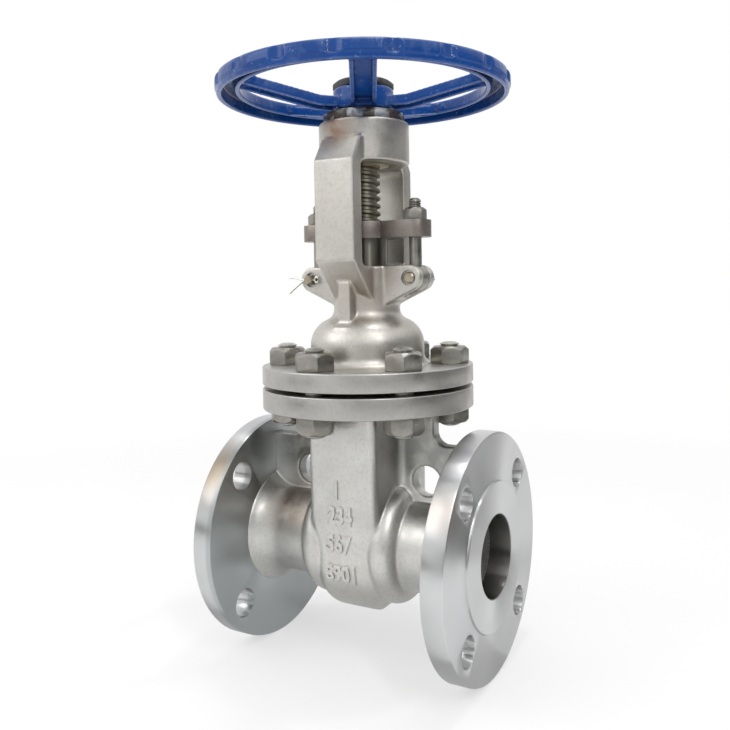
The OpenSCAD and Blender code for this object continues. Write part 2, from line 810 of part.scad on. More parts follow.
// Side view of a spoke, lowered below its top edge and as deep as given.
module spoke_side(lowered, depth) {
    hub_end = hub_d / 2 - 3;
    rim_end = wheel_d / 2 - plain_band_inset - rim_w + rim_wall / 2;
    z_hub = hub_bottom + spoke_clearance + spoke_h - lowered;
    z_rim = rim_top - spoke_inset - lowered;
    polygon([[hub_end, z_hub], [spoke_knee, z_hub], [rim_end, z_rim],
             [rim_end, z_rim - depth], [spoke_knee, z_hub - depth], [hub_end, z_hub - depth]]);
}

// Channel spoke along +X, open underneath, level at the hub and then rising to the rim.
module spoke() {
    rotate([90, 0, 0]) difference() {
        linear_extrude(spoke_w, center = true) spoke_side(0, spoke_h);
        linear_extrude(spoke_w - 2 * spoke_wall, center = true) spoke_side(spoke_wall, spoke_h);
    }
}

module handwheel() {
    on_stem_axis() color("#1f4e9c") difference() {
        union() {
            translate([0, 0, hub_bottom]) cylinder(d = hub_d, h = hub_h);
            translate([0, 0, rim_bottom]) wheel_rim();
            for (i = [0 : spoke_count - 1])
                rotate([0, 0, spoke_turn + i * 360 / spoke_count]) spoke();
        }
        translate([0, 0, hub_bottom - joint_depth])
            cylinder(d = sleeve_thread_d + 2 * thread_gap, h = hub_h + 2 * joint_depth);
    }
}

module wheel_nut() {
    on_stem_axis() color("#46443f") translate([0, 0, hub_top])
        hex_nut(wheel_nut_af, sleeve_thread_d + 2 * thread_gap, wheel_nut_h);
}

// ---- Nodes ---------------------------------------------------------------------------

body();
on_stem_axis() mirror([1, 0, 0]) seat_ring();  // seat_ring_inlet
on_stem_axis() seat_ring();  // seat_ring_outlet
gate();
stem();
bonnet_gasket();
bonnet();
stem_packing();
gland();
gland_flange();
eye_bolt(-1);  // eye_bolt_left
eye_bolt(1);  // eye_bolt_right
eye_bolt_pin(-1);  // eye_bolt_pin_left
eye_bolt_pin(1);  // eye_bolt_pin_right
split_pin(-1);  // split_pin_left
split_pin(1);  // split_pin_right
eye_bolt_nut(-1);  // eye_bolt_nut_left
eye_bolt_nut(1);  // eye_bolt_nut_right
yoke_sleeve();
sleeve_retainer();
handwheel();
wheel_nut();
for (i = STUDS) {
    bonnet_stud(i);
    upper_nut(i);
    lower_nut(i);
}
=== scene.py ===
"""Looks of a flanged cast steel gate valve with a rising stem and a blue handwheel.

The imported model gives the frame. The castings, flanges, bolting, stem and handwheel are
modelled again with rounded edges, fillets, threads and cast figures; the plain turned
pieces keep their solids and take a finish. Sizes are in millimetres, X along the pipe, Y
across it and Z up the stem, and are counted from the stem's axis at the pipe's height.
"""

import logging
import math
from collections.abc import Callable
from dataclasses import dataclass, field
from enum import Enum

import bpy
from mathutils import Matrix, Vector


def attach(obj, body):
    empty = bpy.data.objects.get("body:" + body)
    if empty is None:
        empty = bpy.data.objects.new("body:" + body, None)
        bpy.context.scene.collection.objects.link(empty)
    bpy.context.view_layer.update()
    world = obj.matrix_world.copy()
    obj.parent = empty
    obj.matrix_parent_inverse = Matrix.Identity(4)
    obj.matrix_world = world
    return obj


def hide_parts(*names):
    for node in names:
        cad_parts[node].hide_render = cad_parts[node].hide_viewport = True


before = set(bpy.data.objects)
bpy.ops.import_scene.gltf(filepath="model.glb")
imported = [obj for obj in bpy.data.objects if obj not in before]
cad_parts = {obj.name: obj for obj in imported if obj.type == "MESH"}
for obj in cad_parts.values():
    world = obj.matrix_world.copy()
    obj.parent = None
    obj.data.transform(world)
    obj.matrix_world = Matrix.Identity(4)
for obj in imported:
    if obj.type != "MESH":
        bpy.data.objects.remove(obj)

LOG = logging.getLogger("gate_valve")
MM = 0.001
SIDES = (-1, 1)
Point = tuple[float, float]
Place = tuple[float, float, float]
Colour = tuple[float, float, float]
Piece = bpy.types.Object
Finish = bpy.types.Material
Socket = bpy.types.NodeSocket

# Place of the stem's axis along the pipe, how far a cutter passes a face, half length of a
# cutter that goes right through a shape, and sizes that sub-assemblies share, in millimetres.
STEM_X = 89.0
OVERCUT = 5.0
THROUGH = 60.0
STEM_BORE_R = 10.3
SLEEVE_R = 16.15
EYE_Z = 172.0
BOSS_TOP = 272.5
HUB_TOP = 295.0

# Point in metres that the lamps and most cards face, from the stem's crossing with the pipe.
MIDDLE = (0.0, 0.0, 0.1)


class Axis(Enum):
    """Direction that a turned or extruded shape follows."""

    X = "X"
    Y = "Y"
    Z = "Z"

    @property
    def vector(self) -> Vector:
        """Unit vector along the axis."""
        return Vector([float(self is axis) for axis in Axis])


class Body(Enum):
    """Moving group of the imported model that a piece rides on."""

    VALVE = "valve"
    STEM = "stem"
    WHEEL = "wheel"


# ---- Outlines ------------------------------------------------------------------------


def arc(centre: Point, radius: float, start: float, end: float, steps: int = 8) -> list[Point]:
    """Gives points along a circular arc.

    Args:
        centre: Middle of the circle.
        radius: Radius of the circle.
        start: First angle in degrees.
        end: Last angle in degrees.
        steps: Number of straight pieces.

    Returns:
        The points from start to end, both included.
    """
    angles = [math.radians(start + (end - start) * i / steps) for i in range(steps + 1)]
    return [(centre[0] + radius * math.cos(a), centre[1] + radius * math.sin(a)) for a in angles]


def round_rectangle(size_x: float, size_y: float, radius: float, centre: Point = (0.0, 0.0),
                    steps: int = 6) -> list[Point]:
    """Gives the outline of a rectangle with round corners.

    Args:
        size_x: Full width.
        size_y: Full height.
        radius: Corner radius.
        centre: Middle of the rectangle.
        steps: Straight pieces in each corner.

    Returns:
        The outline's points, anticlockwise.
    """
    x, y = size_x / 2 - radius, size_y / 2 - radius
    corners = ((x, y, 0), (-x, y, 90), (-x, -y, 180), (x, -y, 270))
    points: list[Point] = []
    for cx, cy, turn in corners:
        points += arc((centre[0] + cx, centre[1] + cy), radius, turn, turn + 90, steps)
    return points


def rectangle(left: float, right: float, low: float, high: float) -> list[Point]:
    """Gives the corners of a rectangle, anticlockwise."""
    return [(left, low), (right, low), (right, high), (left, high)]


def rounded_section(inner: float, outer: float, low: float, high: float,
                    radius: float) -> list[Point]:
    """Gives the half section of a ring whose four edges are rounded.

    Args:
        inner: Inner radius.
        outer: Outer radius.
        low: Lower height.
        high: Upper height.
        radius: Radius of the edges.

    Returns:
        The closed section's points as (radius, height).
    """
    middle = ((inner + outer) / 2, (low + high) / 2)
    return round_rectangle(outer - inner, high - low, radius, middle, 3)


# ---- Modelling operators -------------------------------------------------------------


class Bench:
    """Modelling steps that the sub-assemblies share, done with Blender's operators."""

    @staticmethod
    def deselect() -> None:
        """Leaves nothing selected in object mode."""
        bpy.ops.object.select_all(action="DESELECT")

    @staticmethod
    def pick(piece: Piece) -> None:
        """Makes one piece the only selected and the active one."""
        Bench.deselect()
        piece.select_set(True)
        bpy.context.view_layer.objects.active = piece

    @staticmethod
    def start(name: str, operator: Callable[..., object], **settings: object) -> Piece:
        """Runs an operator that adds a piece, and names the piece."""
        Bench.deselect()
        operator(**settings)
        piece = bpy.context.active_object
        piece.name = piece.data.name = name
        return piece

    @staticmethod
    def _place(axis: Axis, across: float, along: float) -> Vector:
        """Gives the point of a half section that stands beside its axis."""
        side = Axis.Z if axis is Axis.X else Axis.X
        return (side.vector * across + axis.vector * along) * MM

    @staticmethod
    def chain(name: str, points: list[Vector], closed: bool) -> Piece:
        """Draws a line of edges by extruding one vertex from point to point.

        Args:
            name: Name of the new piece.
            points: Corners of the line, in metres.
            closed: Whether the last point joins the first one.

        Returns:
            The new piece, in edit mode, with everything selected.
        """
        piece = Bench.start(name, bpy.ops.mesh.primitive_plane_add, size=MM, location=(0, 0, 0))
        bpy.ops.object.mode_set(mode="EDIT")
        bpy.ops.mesh.select_all(action="SELECT")
        bpy.ops.mesh.merge(type="CENTER")
        bpy.ops.transform.translate(value=points[0])
        stops = points[1:] + (points[:1] if closed else [])
        here = points[0]
        for stop in stops:
            bpy.ops.mesh.extrude_region_move(TRANSFORM_OT_translate={"value": stop - here})
            here = stop
        bpy.ops.mesh.select_all(action="SELECT")
        bpy.ops.mesh.remove_doubles(threshold=1e-7)
        bpy.ops.mesh.select_all(action="SELECT")
        return piece

    @staticmethod
    def close_up() -> None:
        """Merges seams, turns all faces outwards and leaves edit mode."""
        bpy.ops.mesh.select_all(action="SELECT")
        bpy.ops.mesh.remove_doubles(threshold=2e-6)
        bpy.ops.mesh.select_all(action="SELECT")
        bpy.ops.mesh.normals_make_consistent(inside=False)
        bpy.ops.object.mode_set(mode="OBJECT")

    @staticmethod
    def lathe(name: str, section: list[Point], axis: Axis = Axis.Z, steps: int = 96,
              closed: bool = True) -> Piece:
        """Spins a half section round an axis through the stem's crossing with the pipe.

        Args:
            name: Name of the new piece.
            section: Points as (distance from the axis, place along it), in millimetres.
            axis: Axis to spin round.
            steps: Number of steps in the full turn.
            closed: Whether the section is a loop; an open one ends on the axis.

        Returns:
            The turned piece.
        """
        points = [Bench._place(axis, across, along) for across, along in section]
        piece = Bench.chain(name, points, closed)
        bpy.ops.mesh.spin(steps=steps, angle=math.tau, center=(0, 0, 0), axis=axis.vector)
        Bench.close_up()
        return piece

    @staticmethod
    def prism(name: str, outline: list[Point], axis: Axis, low: float, high: float) -> Piece:
        """Extrudes a flat outline along an axis.

        Args:
            name: Name of the new piece.
            outline: Corners in the plane across the axis: (y, z), (x, z) or (x, y).
            axis: Direction of the extrusion.
            low: Where the shape starts along the axis, in millimetres.
            high: Where it ends.

        Returns:
            The extruded piece.
        """
        def corner(u: float, v: float, along: float) -> Vector:
            """Gives a point of the outline at a place along the axis."""
            place = [u, v]
            place.insert("XYZ".index(axis.value), along)
            return Vector(place) * MM

        piece = Bench.chain(name, [corner(u, v, low) for u, v in outline], closed=True)
        bpy.ops.mesh.edge_face_add()
        step = corner(0, 0, high - low)
        bpy.ops.mesh.extrude_region_move(TRANSFORM_OT_translate={"value": step})
        Bench.close_up()
        return piece

    @staticmethod
    def rod(name: str, centre: Point, radius: float, axis: Axis, low: float, high: float,
            sides: int = 48) -> Piece:
        """Extrudes a circle along an axis.

        Args:
            name: Name of the new piece.
            centre: Middle of the circle in the plane across the axis.
            radius: Radius of the circle.
            axis: Direction of the rod.
            low: Where it starts along the axis, in millimetres.
            high: Where it ends.
            sides: Number of its flat sides.

        Returns:
            The rod.
        """
        outline = arc(centre, radius, 0, 360 - 360 / sides, sides - 1)
        return Bench.prism(name, outline, axis, low, high)

    @staticmethod
    def loft(name: str, outlines: list[list[Point]], heights: list[float]) -> Piece:
        """Bridges a stack of flat outlines that have equal numbers of corners.

        Args:
            name: Name of the new piece.
            outlines: Corners of each outline as (x, y), in millimetres.
            heights: Height of each outline.

        Returns:
            The closed piece.
        """
        loops = []
        for outline, height in zip(outlines, heights):
            loops.append(Bench.chain(name, [Vector((x, y, height)) * MM for x, y in outline],
                                     closed=True))
            bpy.ops.object.mode_set(mode="OBJECT")
        piece = Bench.join(loops)
        piece.name = piece.data.name = name
        bpy.ops.object.mode_set(mode="EDIT")
        bpy.ops.mesh.select_all(action="SELECT")
        bpy.ops.mesh.bridge_edge_loops()
        bpy.ops.mesh.select_all(action="DESELECT")
        bpy.ops.mesh.select_non_manifold()
        bpy.ops.mesh.fill_holes(sides=0)
        Bench.close_up()
        return piece

    @staticmethod
    def apply(piece: Piece, kind: str, **settings: object) -> None:
        """Adds a modifier with its settings and applies it."""
        Bench.pick(piece)
        modifier = piece.modifiers.new(kind.title(), kind)
        for key, value in settings.items():
            setattr(modifier, key, value)
        bpy.ops.object.modifier_apply(modifier=modifier.name)

    @staticmethod
    def soften(piece: Piece, width: float, segments: int, angle: float) -> None:
        """Bevels a piece's sharp edges.

        Args:
            piece: The piece.
            width: Width of the bevel in millimetres.
            segments: Number of faces across it.
            angle: Least bend in degrees of the edges that are bevelled.
        """
        Bench.apply(piece, "BEVEL", width=width * MM, segments=segments, limit_method="ANGLE",
                    angle_limit=math.radians(angle))

    @staticmethod
    def shift(piece: Piece, x: float, y: float, z: float) -> None:
        """Moves a piece's mesh by millimetres."""
        piece.data.transform(Matrix.Translation((x * MM, y * MM, z * MM)))

    @staticmethod
    def combine(piece: Piece, other: Piece, operation: str) -> None:
        """Joins, cuts or intersects a piece with another one, which is used up.

        Args:
            piece: The piece that keeps the result.
            other: The tool piece.
            operation: UNION, DIFFERENCE or INTERSECT.
        """
        Bench.apply(piece, "BOOLEAN", object=other, operation=operation, solver="EXACT")
        bpy.data.objects.remove(other)

    @staticmethod
    def join(pieces: list[Piece]) -> Piece:
        """Puts several pieces into the first one's mesh."""
        Bench.deselect()
        for piece in pieces:
            piece.select_set(True)
        bpy.context.view_layer.objects.active = pieces[0]
        bpy.ops.object.join()
        return pieces[0]

    @staticmethod
    def copy(piece: Piece, name: str, move: Matrix) -> Piece:
        """Copies a piece with its own mesh and moves that mesh."""
        twin = piece.copy()
        twin.data = piece.data.copy()
        twin.name = twin.data.name = name
        bpy.context.scene.collection.objects.link(twin)
        twin.data.transform(move)
        return twin

    @staticmethod
    def ring_of(piece: Piece, count: int, first: float = 0.0) -> Piece:
        """Repeats a shape round the Z axis and joins the repeats into one mesh.

        Args:
            piece: The shape, which is used up.
            count: Number of repeats in the full turn.
            first: Angle of the first one in degrees.

        Returns:
            The joined piece.
        """
        twins = [Bench.copy(piece, f"{piece.name}_{i}",
                            Matrix.Rotation(math.radians(first + 360 * i / count), 4, "Z"))
                 for i in range(count)]
        bpy.data.objects.remove(piece)
        return Bench.join(twins)

    @staticmethod
    def cast_skin(piece: Piece, voxel: float, rounds: int, share: float) -> None:
        """Fuses overlapping shapes into one casting with soft edges and fillets.

        Args:
            piece: The piece whose parts overlap.
            voxel: Size of the grid in millimetres.
            rounds: Number of smoothing rounds.
            share: Share of the faces that is kept.
        """
        Bench.apply(piece, "REMESH", mode="VOXEL", voxel_size=voxel * MM, adaptivity=0.0)
        Bench.apply(piece, "SMOOTH", factor=0.5, iterations=rounds)
        Bench.apply(piece, "DECIMATE", ratio=share)

    @staticmethod
    def mirrored(piece: Piece, name: str, axis: Axis = Axis.X) -> Piece:
        """Copies a piece to the other side of the stem, along an axis."""
        twin = Bench.copy(piece, name, Matrix.Scale(-1, 4, axis.vector))
        Bench.pick(twin)
        bpy.ops.object.mode_set(mode="EDIT")
        bpy.ops.mesh.select_all(action="SELECT")
        bpy.ops.mesh.normals_make_consistent(inside=False)
        bpy.ops.object.mode_set(mode="OBJECT")
        return twin


# ---- Materials -----------------------------------------------------------------------


class Graph:
    """Nodes of a material or world, with short ways to add and join them."""

    def __init__(self, owner: Finish | bpy.types.World) -> None:
        """Empties the owner's nodes."""
        owner.use_nodes = True
        self.nodes = owner.node_tree.nodes
        self.links = owner.node_tree.links
        self.nodes.clear()

    def add(self, kind: str, inputs: dict | None = None, **settings: object) -> bpy.types.Node:
        """Adds a node.

        Args:
            kind: Type name of the node.
            inputs: Values or sockets for its inputs, by name or number.
            settings: Its own settings.

        Returns:
            The new node.
        """
        node = self.nodes.new(kind)
        for key, value in settings.items():
            setattr(node, key, value)
        for key, value in (inputs or {}).items():
            if isinstance(value, Socket):
                self.links.new(value, node.inputs[key])
            else:
                node.inputs[key].default_value = value
        return node

    def spread(self, value: Socket, low: float, high: float,
               out_low: float = 0.0, out_high: float = 1.0) -> Socket:
        """Maps a value's range onto another range, clamped."""
        return self.add("ShaderNodeMapRange",
                        {"Value": value, "From Min": low, "From Max": high,
                         "To Min": out_low, "To Max": out_high}).outputs["Result"]

    def maths(self, operation: str, a: object, b: object = 0.0) -> Socket:
        """Adds a Math node on two values or sockets."""
        return self.add("ShaderNodeMath", {0: a, 1: b}, operation=operation).outputs[0]


@dataclass(frozen=True)
class StainAndShadePatch:
    """Patch of other colour on the steel: stains and heat tint, and in some places painted shade.
    """

    centre: Place
    reach: float
    stretch: Place = (1.0, 1.0, 1.0)
    share: float = 0.7
    tone: Colour = (0.36, 0.25, 0.18)
    core: float = 0.2


class Tree(Graph):
    """Node tree of one material."""

    def __init__(self, name: str) -> None:
        """Starts an empty material."""
        self.material = bpy.data.materials.new(name)
        super().__init__(self.material)
        self.place = self.add("ShaderNodeTexCoord").outputs["Object"]

    def noise(self, scale: float, detail: float = 3.0) -> Socket:
        """Adds a noise pattern of a scale per metre and gives its value."""
        return self.add("ShaderNodeTexNoise",
                        {"Vector": self.place, "Scale": scale, "Detail": detail,
                         "Roughness": 0.55}).outputs["Fac"]

    def cover(self, mask: Socket, share: object, under: object, over: object) -> Socket:
        """Lays a colour over another one where a mask is set, times a share."""
        return self.blend(self.maths("MULTIPLY", mask, share), under, over)

    def layer(self, under: object, over: object, share: float, pattern: tuple[float, float],
              low: float, high: float) -> Socket:
        """Lays a colour over another one in patches.

        Args:
            under: The colour below.
            over: The colour of the patches.
            share: How far the patches cover it.
            pattern: Scale per metre and detail of the noise that forms them.
            low: Value of the noise at which a patch begins.
            high: Value at which it is full.

        Returns:
            The mixed colour's socket.
        """
        return self.cover(self.spread(self.noise(*pattern), low, high), share, under, over)

    def tinted(self, colour: Socket, tints: tuple[StainAndShadePatch, ...], ragged: object = 1.0) -> Socket:
        """Lays tints over a colour, each times a ragged share."""
        for tint in tints:
            mask = self.near(tint.centre, tint.reach, tint.stretch, tint.core)
            share = self.maths("MULTIPLY", ragged, tint.share)
            colour = self.cover(mask, share, colour, tint.tone)
        return colour

    def blend(self, share: object, a: object, b: object) -> Socket:
        """Mixes two colours, each a colour or a socket."""
        def full(colour: object) -> object:
            """Gives a plain colour its alpha."""
            return (*colour, 1.0) if isinstance(colour, tuple) and len(colour) == 3 else colour

        return self.add("ShaderNodeMix", {0: share, 6: full(a), 7: full(b)},
                        data_type="RGBA").outputs[2]

    def bump(self, height: Socket, depth: float, strength: float = 1.0,
             normal: Socket | None = None) -> Socket:
        """Adds a bump of a depth in millimetres on top of another one."""
        inputs = {"Height": height, "Distance": depth * MM, "Strength": strength}
        if normal is not None:
            inputs["Normal"] = normal
        return self.add("ShaderNodeBump", inputs).outputs["Normal"]

    def near(self, centre: Place, reach: float,
             stretch: Place = (1, 1, 1),
             core: float = 0.2) -> Socket:
        """Gives 1 at a place and 0 beyond its reach.

        Args:
            centre: Place in millimetres from the stem's crossing with the pipe.
            reach: Distance in millimetres at which the value is 0.
            stretch: Factor on the distance along each axis.
            core: Share of the reach within which the value is 1.

        Returns:
            The value's socket.
        """
        spot = tuple((c + (STEM_X if i == 0 else 0)) * MM for i, c in enumerate(centre))
        offset = self.add("ShaderNodeVectorMath", {0: self.place, 1: spot},
                          operation="SUBTRACT").outputs[0]
        scaled = self.add("ShaderNodeVectorMath", {0: offset, 1: stretch},
                          operation="MULTIPLY").outputs[0]
        length = self.add("ShaderNodeVectorMath", {0: scaled}, operation="LENGTH").outputs[1]
        return self.spread(length, reach * MM, core * reach * MM)

    def shader(self, **inputs: object) -> bpy.types.Node:
        """Adds the Principled shader with its inputs, spaces written as underscores."""
        named = {key.replace("_", " "): value for key, value in inputs.items()}
        for key, value in named.items():
            if isinstance(value, tuple) and len(value) == 3:
                named[key] = (*value, 1.0)
        return self.add("ShaderNodeBsdfPrincipled", named)

    def output(self, shader: bpy.types.Node) -> Finish:
        """Joins a shader to the output and gives the material."""
        self.add("ShaderNodeOutputMaterial", {"Surface": shader.outputs[0]})
        return self.material


@dataclass(frozen=True)
class CastSteel:
    """Blasted stainless casting: satin, finely grained and slightly uneven."""

    name: str
    tone: Colour = (0.66, 0.655, 0.63)
    shade: Colour = (0.44, 0.435, 0.41)
    roughness: float = 0.42
    grain: float = 0.10
    waves: float = 0.10
    tints: tuple[StainAndShadePatch, ...] = ()

    def build(self) -> Finish:
        """Builds the material."""
        tree = Tree(self.name)
        colour = tree.layer(self.tone, self.shade, 0.30, (22, 4), 0.42, 0.66)
        colour = tree.layer(colour, self.shade, 0.35, (520, 3), 0.46, 0.70)
        ragged = tree.spread(tree.noise(55, 3), 0.30, 0.55, 0.4, 1.0)
        colour = tree.tinted(colour, self.tints, ragged)
        rough = tree.spread(tree.noise(90, 3), 0.3, 0.7, self.roughness - 0.07,
                            self.roughness + 0.09)
        waves = tree.bump(tree.noise(75, 2), self.waves, 0.5)
        grain = tree.bump(tree.noise(1000, 3), self.grain, 0.7, waves)
        return tree.output(tree.shader(Base_Color=colour, Metallic=1.0, Roughness=rough,
                                       Normal=grain))


@dataclass(frozen=True)
class TurnedSteel:
    """Machined steel with fine turning marks round one axis."""

    name: str
    axis: Axis = Axis.X
    tone: Colour = (0.63, 0.635, 0.64)
    shade: Colour = (0.49, 0.49, 0.49)
    roughness: float = 0.31
    pitch: float = 1.1
    depth: float = 0.012
    anisotropy: float = 0.95
    tints: tuple[StainAndShadePatch, ...] = ()

    def build(self) -> Finish:
        """Builds the material."""
        tree = Tree(self.name)
        centred = tree.add("ShaderNodeMapping",
                           {"Vector": tree.place, "Location": (-STEM_X * MM, 0, 0)})
        rings = tree.add("ShaderNodeTexWave",
                         {"Vector": centred.outputs[0], "Scale": 1 / (self.pitch * MM) / 3.18,
                          "Distortion": 0.6, "Detail": 2.0, "Detail Scale": 1.5},
                         wave_type="RINGS", rings_direction=self.axis.value)
        colour = tree.layer(self.tone, self.shade, 0.2, (18, 2), 0.4, 0.7)
        colour = tree.cover(rings.outputs["Fac"], 0.15, colour, self.shade)
        colour = tree.tinted(colour, self.tints)
        rough = tree.spread(tree.noise(60, 2), 0.3, 0.7, self.roughness - 0.02,
                            self.roughness + 0.03)
        marks = tree.bump(rings.outputs["Fac"], self.depth, 0.5)
        tangent = tree.add("ShaderNodeTangent", direction_type="RADIAL",
                           axis=self.axis.value).outputs[0]
        return tree.output(tree.shader(Base_Color=colour, Metallic=1.0, Roughness=rough,
                                       Anisotropic=self.anisotropy,
                                       Anisotropic_Rotation=0.25, Tangent=tangent,
                                       Normal=marks))


@dataclass(frozen=True)
class BoltSteel:
    """Forged and blackened steel of nuts, studs and pins."""

    name: str
    tone: Colour = (0.34, 0.33, 0.30)
    shade: Colour = (0.20, 0.19, 0.165)
    roughness: float = 0.34
    grain: float = 0.06

    def build(self) -> Finish:
        """Builds the material."""
        tree = Tree(self.name)
        colour = tree.layer(self.tone, self.shade, 0.5, (90, 3), 0.38, 0.68)
        colour = tree.layer(colour, self.shade, 0.3, (700, 2), 0.55, 0.7)
        rough = tree.spread(tree.noise(200, 2), 0.3, 0.7, self.roughness - 0.08,
                            self.roughness + 0.12)
        waves = tree.bump(tree.noise(200, 2), 0.04, 0.5)
        grain = tree.bump(tree.noise(1800, 2), self.grain, 0.5, waves)
        return tree.output(tree.shader(Base_Color=colour, Metallic=1.0, Roughness=rough,
                                       Normal=grain))


@dataclass(frozen=True)
class Enamel:
    """Blue enamel over a rough casting, pale on its edges from wear and a painted highlight, with
    painted shade in its creases and in the rim's channel.
    """

    name: str
    tone: Colour = (0.003, 0.045, 0.215)
    # Painted shade in the creases and in the rim's channel.
    deep: Colour = (0.004, 0.009, 0.045)
    # Pale edge colour: worn enamel and painted highlight on convex edges, and random chips.
    edge: Colour = (0.26, 0.33, 0.62)
    dust: Colour = (0.09, 0.15, 0.32)
    roughness: float = 0.30
    # Radii and top of the rim's channel, where painted shade is laid.
    channel: Point = (83.2, 91.0)
    channel_top: float = 299.0

    def build(self) -> Finish:
        """Builds the material."""
        tree = Tree(self.name)
        bend = tree.add("ShaderNodeNewGeometry").outputs["Pointiness"]
        pale = (self.tone[0] * 1.7, self.tone[1] * 1.5, self.tone[2] * 1.35)
        colour = tree.layer(self.tone, pale, 0.5, (45, 3), 0.35, 0.7)
        # Painted shade: concave creases, found by pointiness, turn to the deep colour.
        hollows = tree.spread(bend, 0.485, 0.44, 0.0, 0.85)
        colour = tree.blend(hollows, colour, self.deep)
        # Worn enamel and painted highlight: convex edges, found by pointiness, turn pale in ragged
        # patches.
        worn_and_lit_edge = tree.maths("MULTIPLY", tree.spread(bend, 0.520, 0.58, 0.0, 0.85),
                          tree.spread(tree.noise(160, 3), 0.28, 0.50, 0.2, 1.0))
        colour = tree.blend(worn_and_lit_edge, colour, self.edge)
        # Painted shade: the inside of the rim's channel is darkened.
        across = tree.near((0, 0, 0), self.channel[1], (1, 1, 0), 0.995)
        core = tree.near((0, 0, 0), self.channel[0], (1, 1, 0), 0.99)
        under = tree.near((0, 0, 0), self.channel_top, (0, 0, 1), 0.995)
        dark = tree.maths("MULTIPLY", tree.maths("MULTIPLY", under, 0.8),
                          tree.maths("SUBTRACT", across, core))
        colour = tree.blend(dark, colour, self.deep)
        dusty = tree.spread(tree.noise(70, 3), 0.56, 0.74, 0.0, 0.5)
        colour = tree.blend(dusty, colour, self.dust)
        chips = tree.spread(tree.noise(330, 3), 0.64, 0.72, 0.0, 0.35)
        colour = tree.blend(chips, colour, self.edge)
        waves = tree.bump(tree.noise(150, 3), 1.0, 0.6)
        peel = tree.bump(tree.noise(620, 2), 0.12, 0.5, waves)
        return tree.output(tree.shader(Base_Color=colour, Metallic=0.0,
                                       Roughness=self.roughness, Specular_IOR_Level=0.15,
                                       Coat_Weight=0.35, Coat_Roughness=0.08, Normal=peel))


@dataclass(frozen=True)
class Compound:
    """Dark graphite or grease, dull or wet."""

    name: str
    tone: Colour = (0.030, 0.029, 0.027)
    pale: Colour = (0.075, 0.070, 0.064)
    roughness: float = 0.6
    lumps: float = 0.3
    scale: float = 300.0
    bare: float = 0.0

    def build(self) -> Finish:
        """Builds the material."""
        tree = Tree(self.name)
        colour = tree.blend(tree.spread(tree.noise(self.scale, 3), 0.4, 0.7), self.tone, self.pale)
        bare = tree.spread(tree.noise(self.scale * 0.6, 3), 0.50, 0.60, 0.0, self.bare)
        colour = tree.blend(bare, colour, (0.42, 0.43, 0.45))
        lumps = tree.bump(tree.noise(self.scale * 1.3, 3), self.lumps, 0.6)
        return tree.output(tree.shader(Base_Color=colour, Metallic=bare, Normal=lumps,
                                       Roughness=self.roughness))


# ---- Sub-assemblies ------------------------------------------------------------------


@dataclass(frozen=True)
class BonnetJoint:
    """Sizes that the body, the bonnet and the bolting between them share."""

    flange_d: float = 138.5
    circle_r: float = 54.0
    hole_r: float = 7.15
    count: int = 6
    turn: float = 23.0
    body_low: float = 88.8
    body_high: float = 102.1
    bonnet_low: float = 104.6
    bonnet_high: float = 116.4

    def disc(self, name: str, inner: float, low: float, high: float) -> Piece:
        """Turns one of the two flanges, without its stud holes.

        Args:
            name: Name of the piece.
            inner: Inner radius.
            low: Height of its lower face.
            high: Height of its upper face.

        Returns:
            The flange.
        """
        return Bench.lathe(name, rounded_section(inner, self.flange_d / 2, low, high, 0.9),
                           Axis.Z, 144)

    def drill(self, piece: Piece) -> None:
        """Cuts the stud holes through a flange."""
        hole = Bench.rod("holes", (self.circle_r, 0.0), self.hole_r, Axis.Z,
                         self.body_low - OVERCUT, self.bonnet_high + OVERCUT, 24)
        Bench.combine(piece, Bench.ring_of(hole, self.count, self.turn), "DIFFERENCE")


JOINT = BonnetJoint()


@dataclass
class Assembly:
    """Base of the sub-assemblies: puts pieces in place, dresses them and lets them ride."""

    def hand_over(self, piece: Piece, finish: Finish, slot: str,
                  body: Body, stands_for: tuple[str, ...] = (), angle: float = 35.0) -> None:
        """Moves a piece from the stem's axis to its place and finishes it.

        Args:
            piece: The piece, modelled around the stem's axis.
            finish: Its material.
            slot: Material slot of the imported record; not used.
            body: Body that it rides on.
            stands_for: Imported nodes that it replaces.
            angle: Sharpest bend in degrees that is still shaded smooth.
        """
        Bench.shift(piece, STEM_X, 0, 0)
        piece.data.name = piece.name
        piece.data.materials.clear()
        piece.data.materials.append(finish)
        Bench.pick(piece)
        bpy.ops.object.shade_smooth_by_angle(angle=math.radians(angle))
        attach(piece, body.value)
        if stands_for:
            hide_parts(*stands_for)
        triangles = sum(len(p.vertices) - 2 for p in piece.data.polygons)
        LOG.info("%s: %d triangles on %s", piece.name, triangles, body.value)


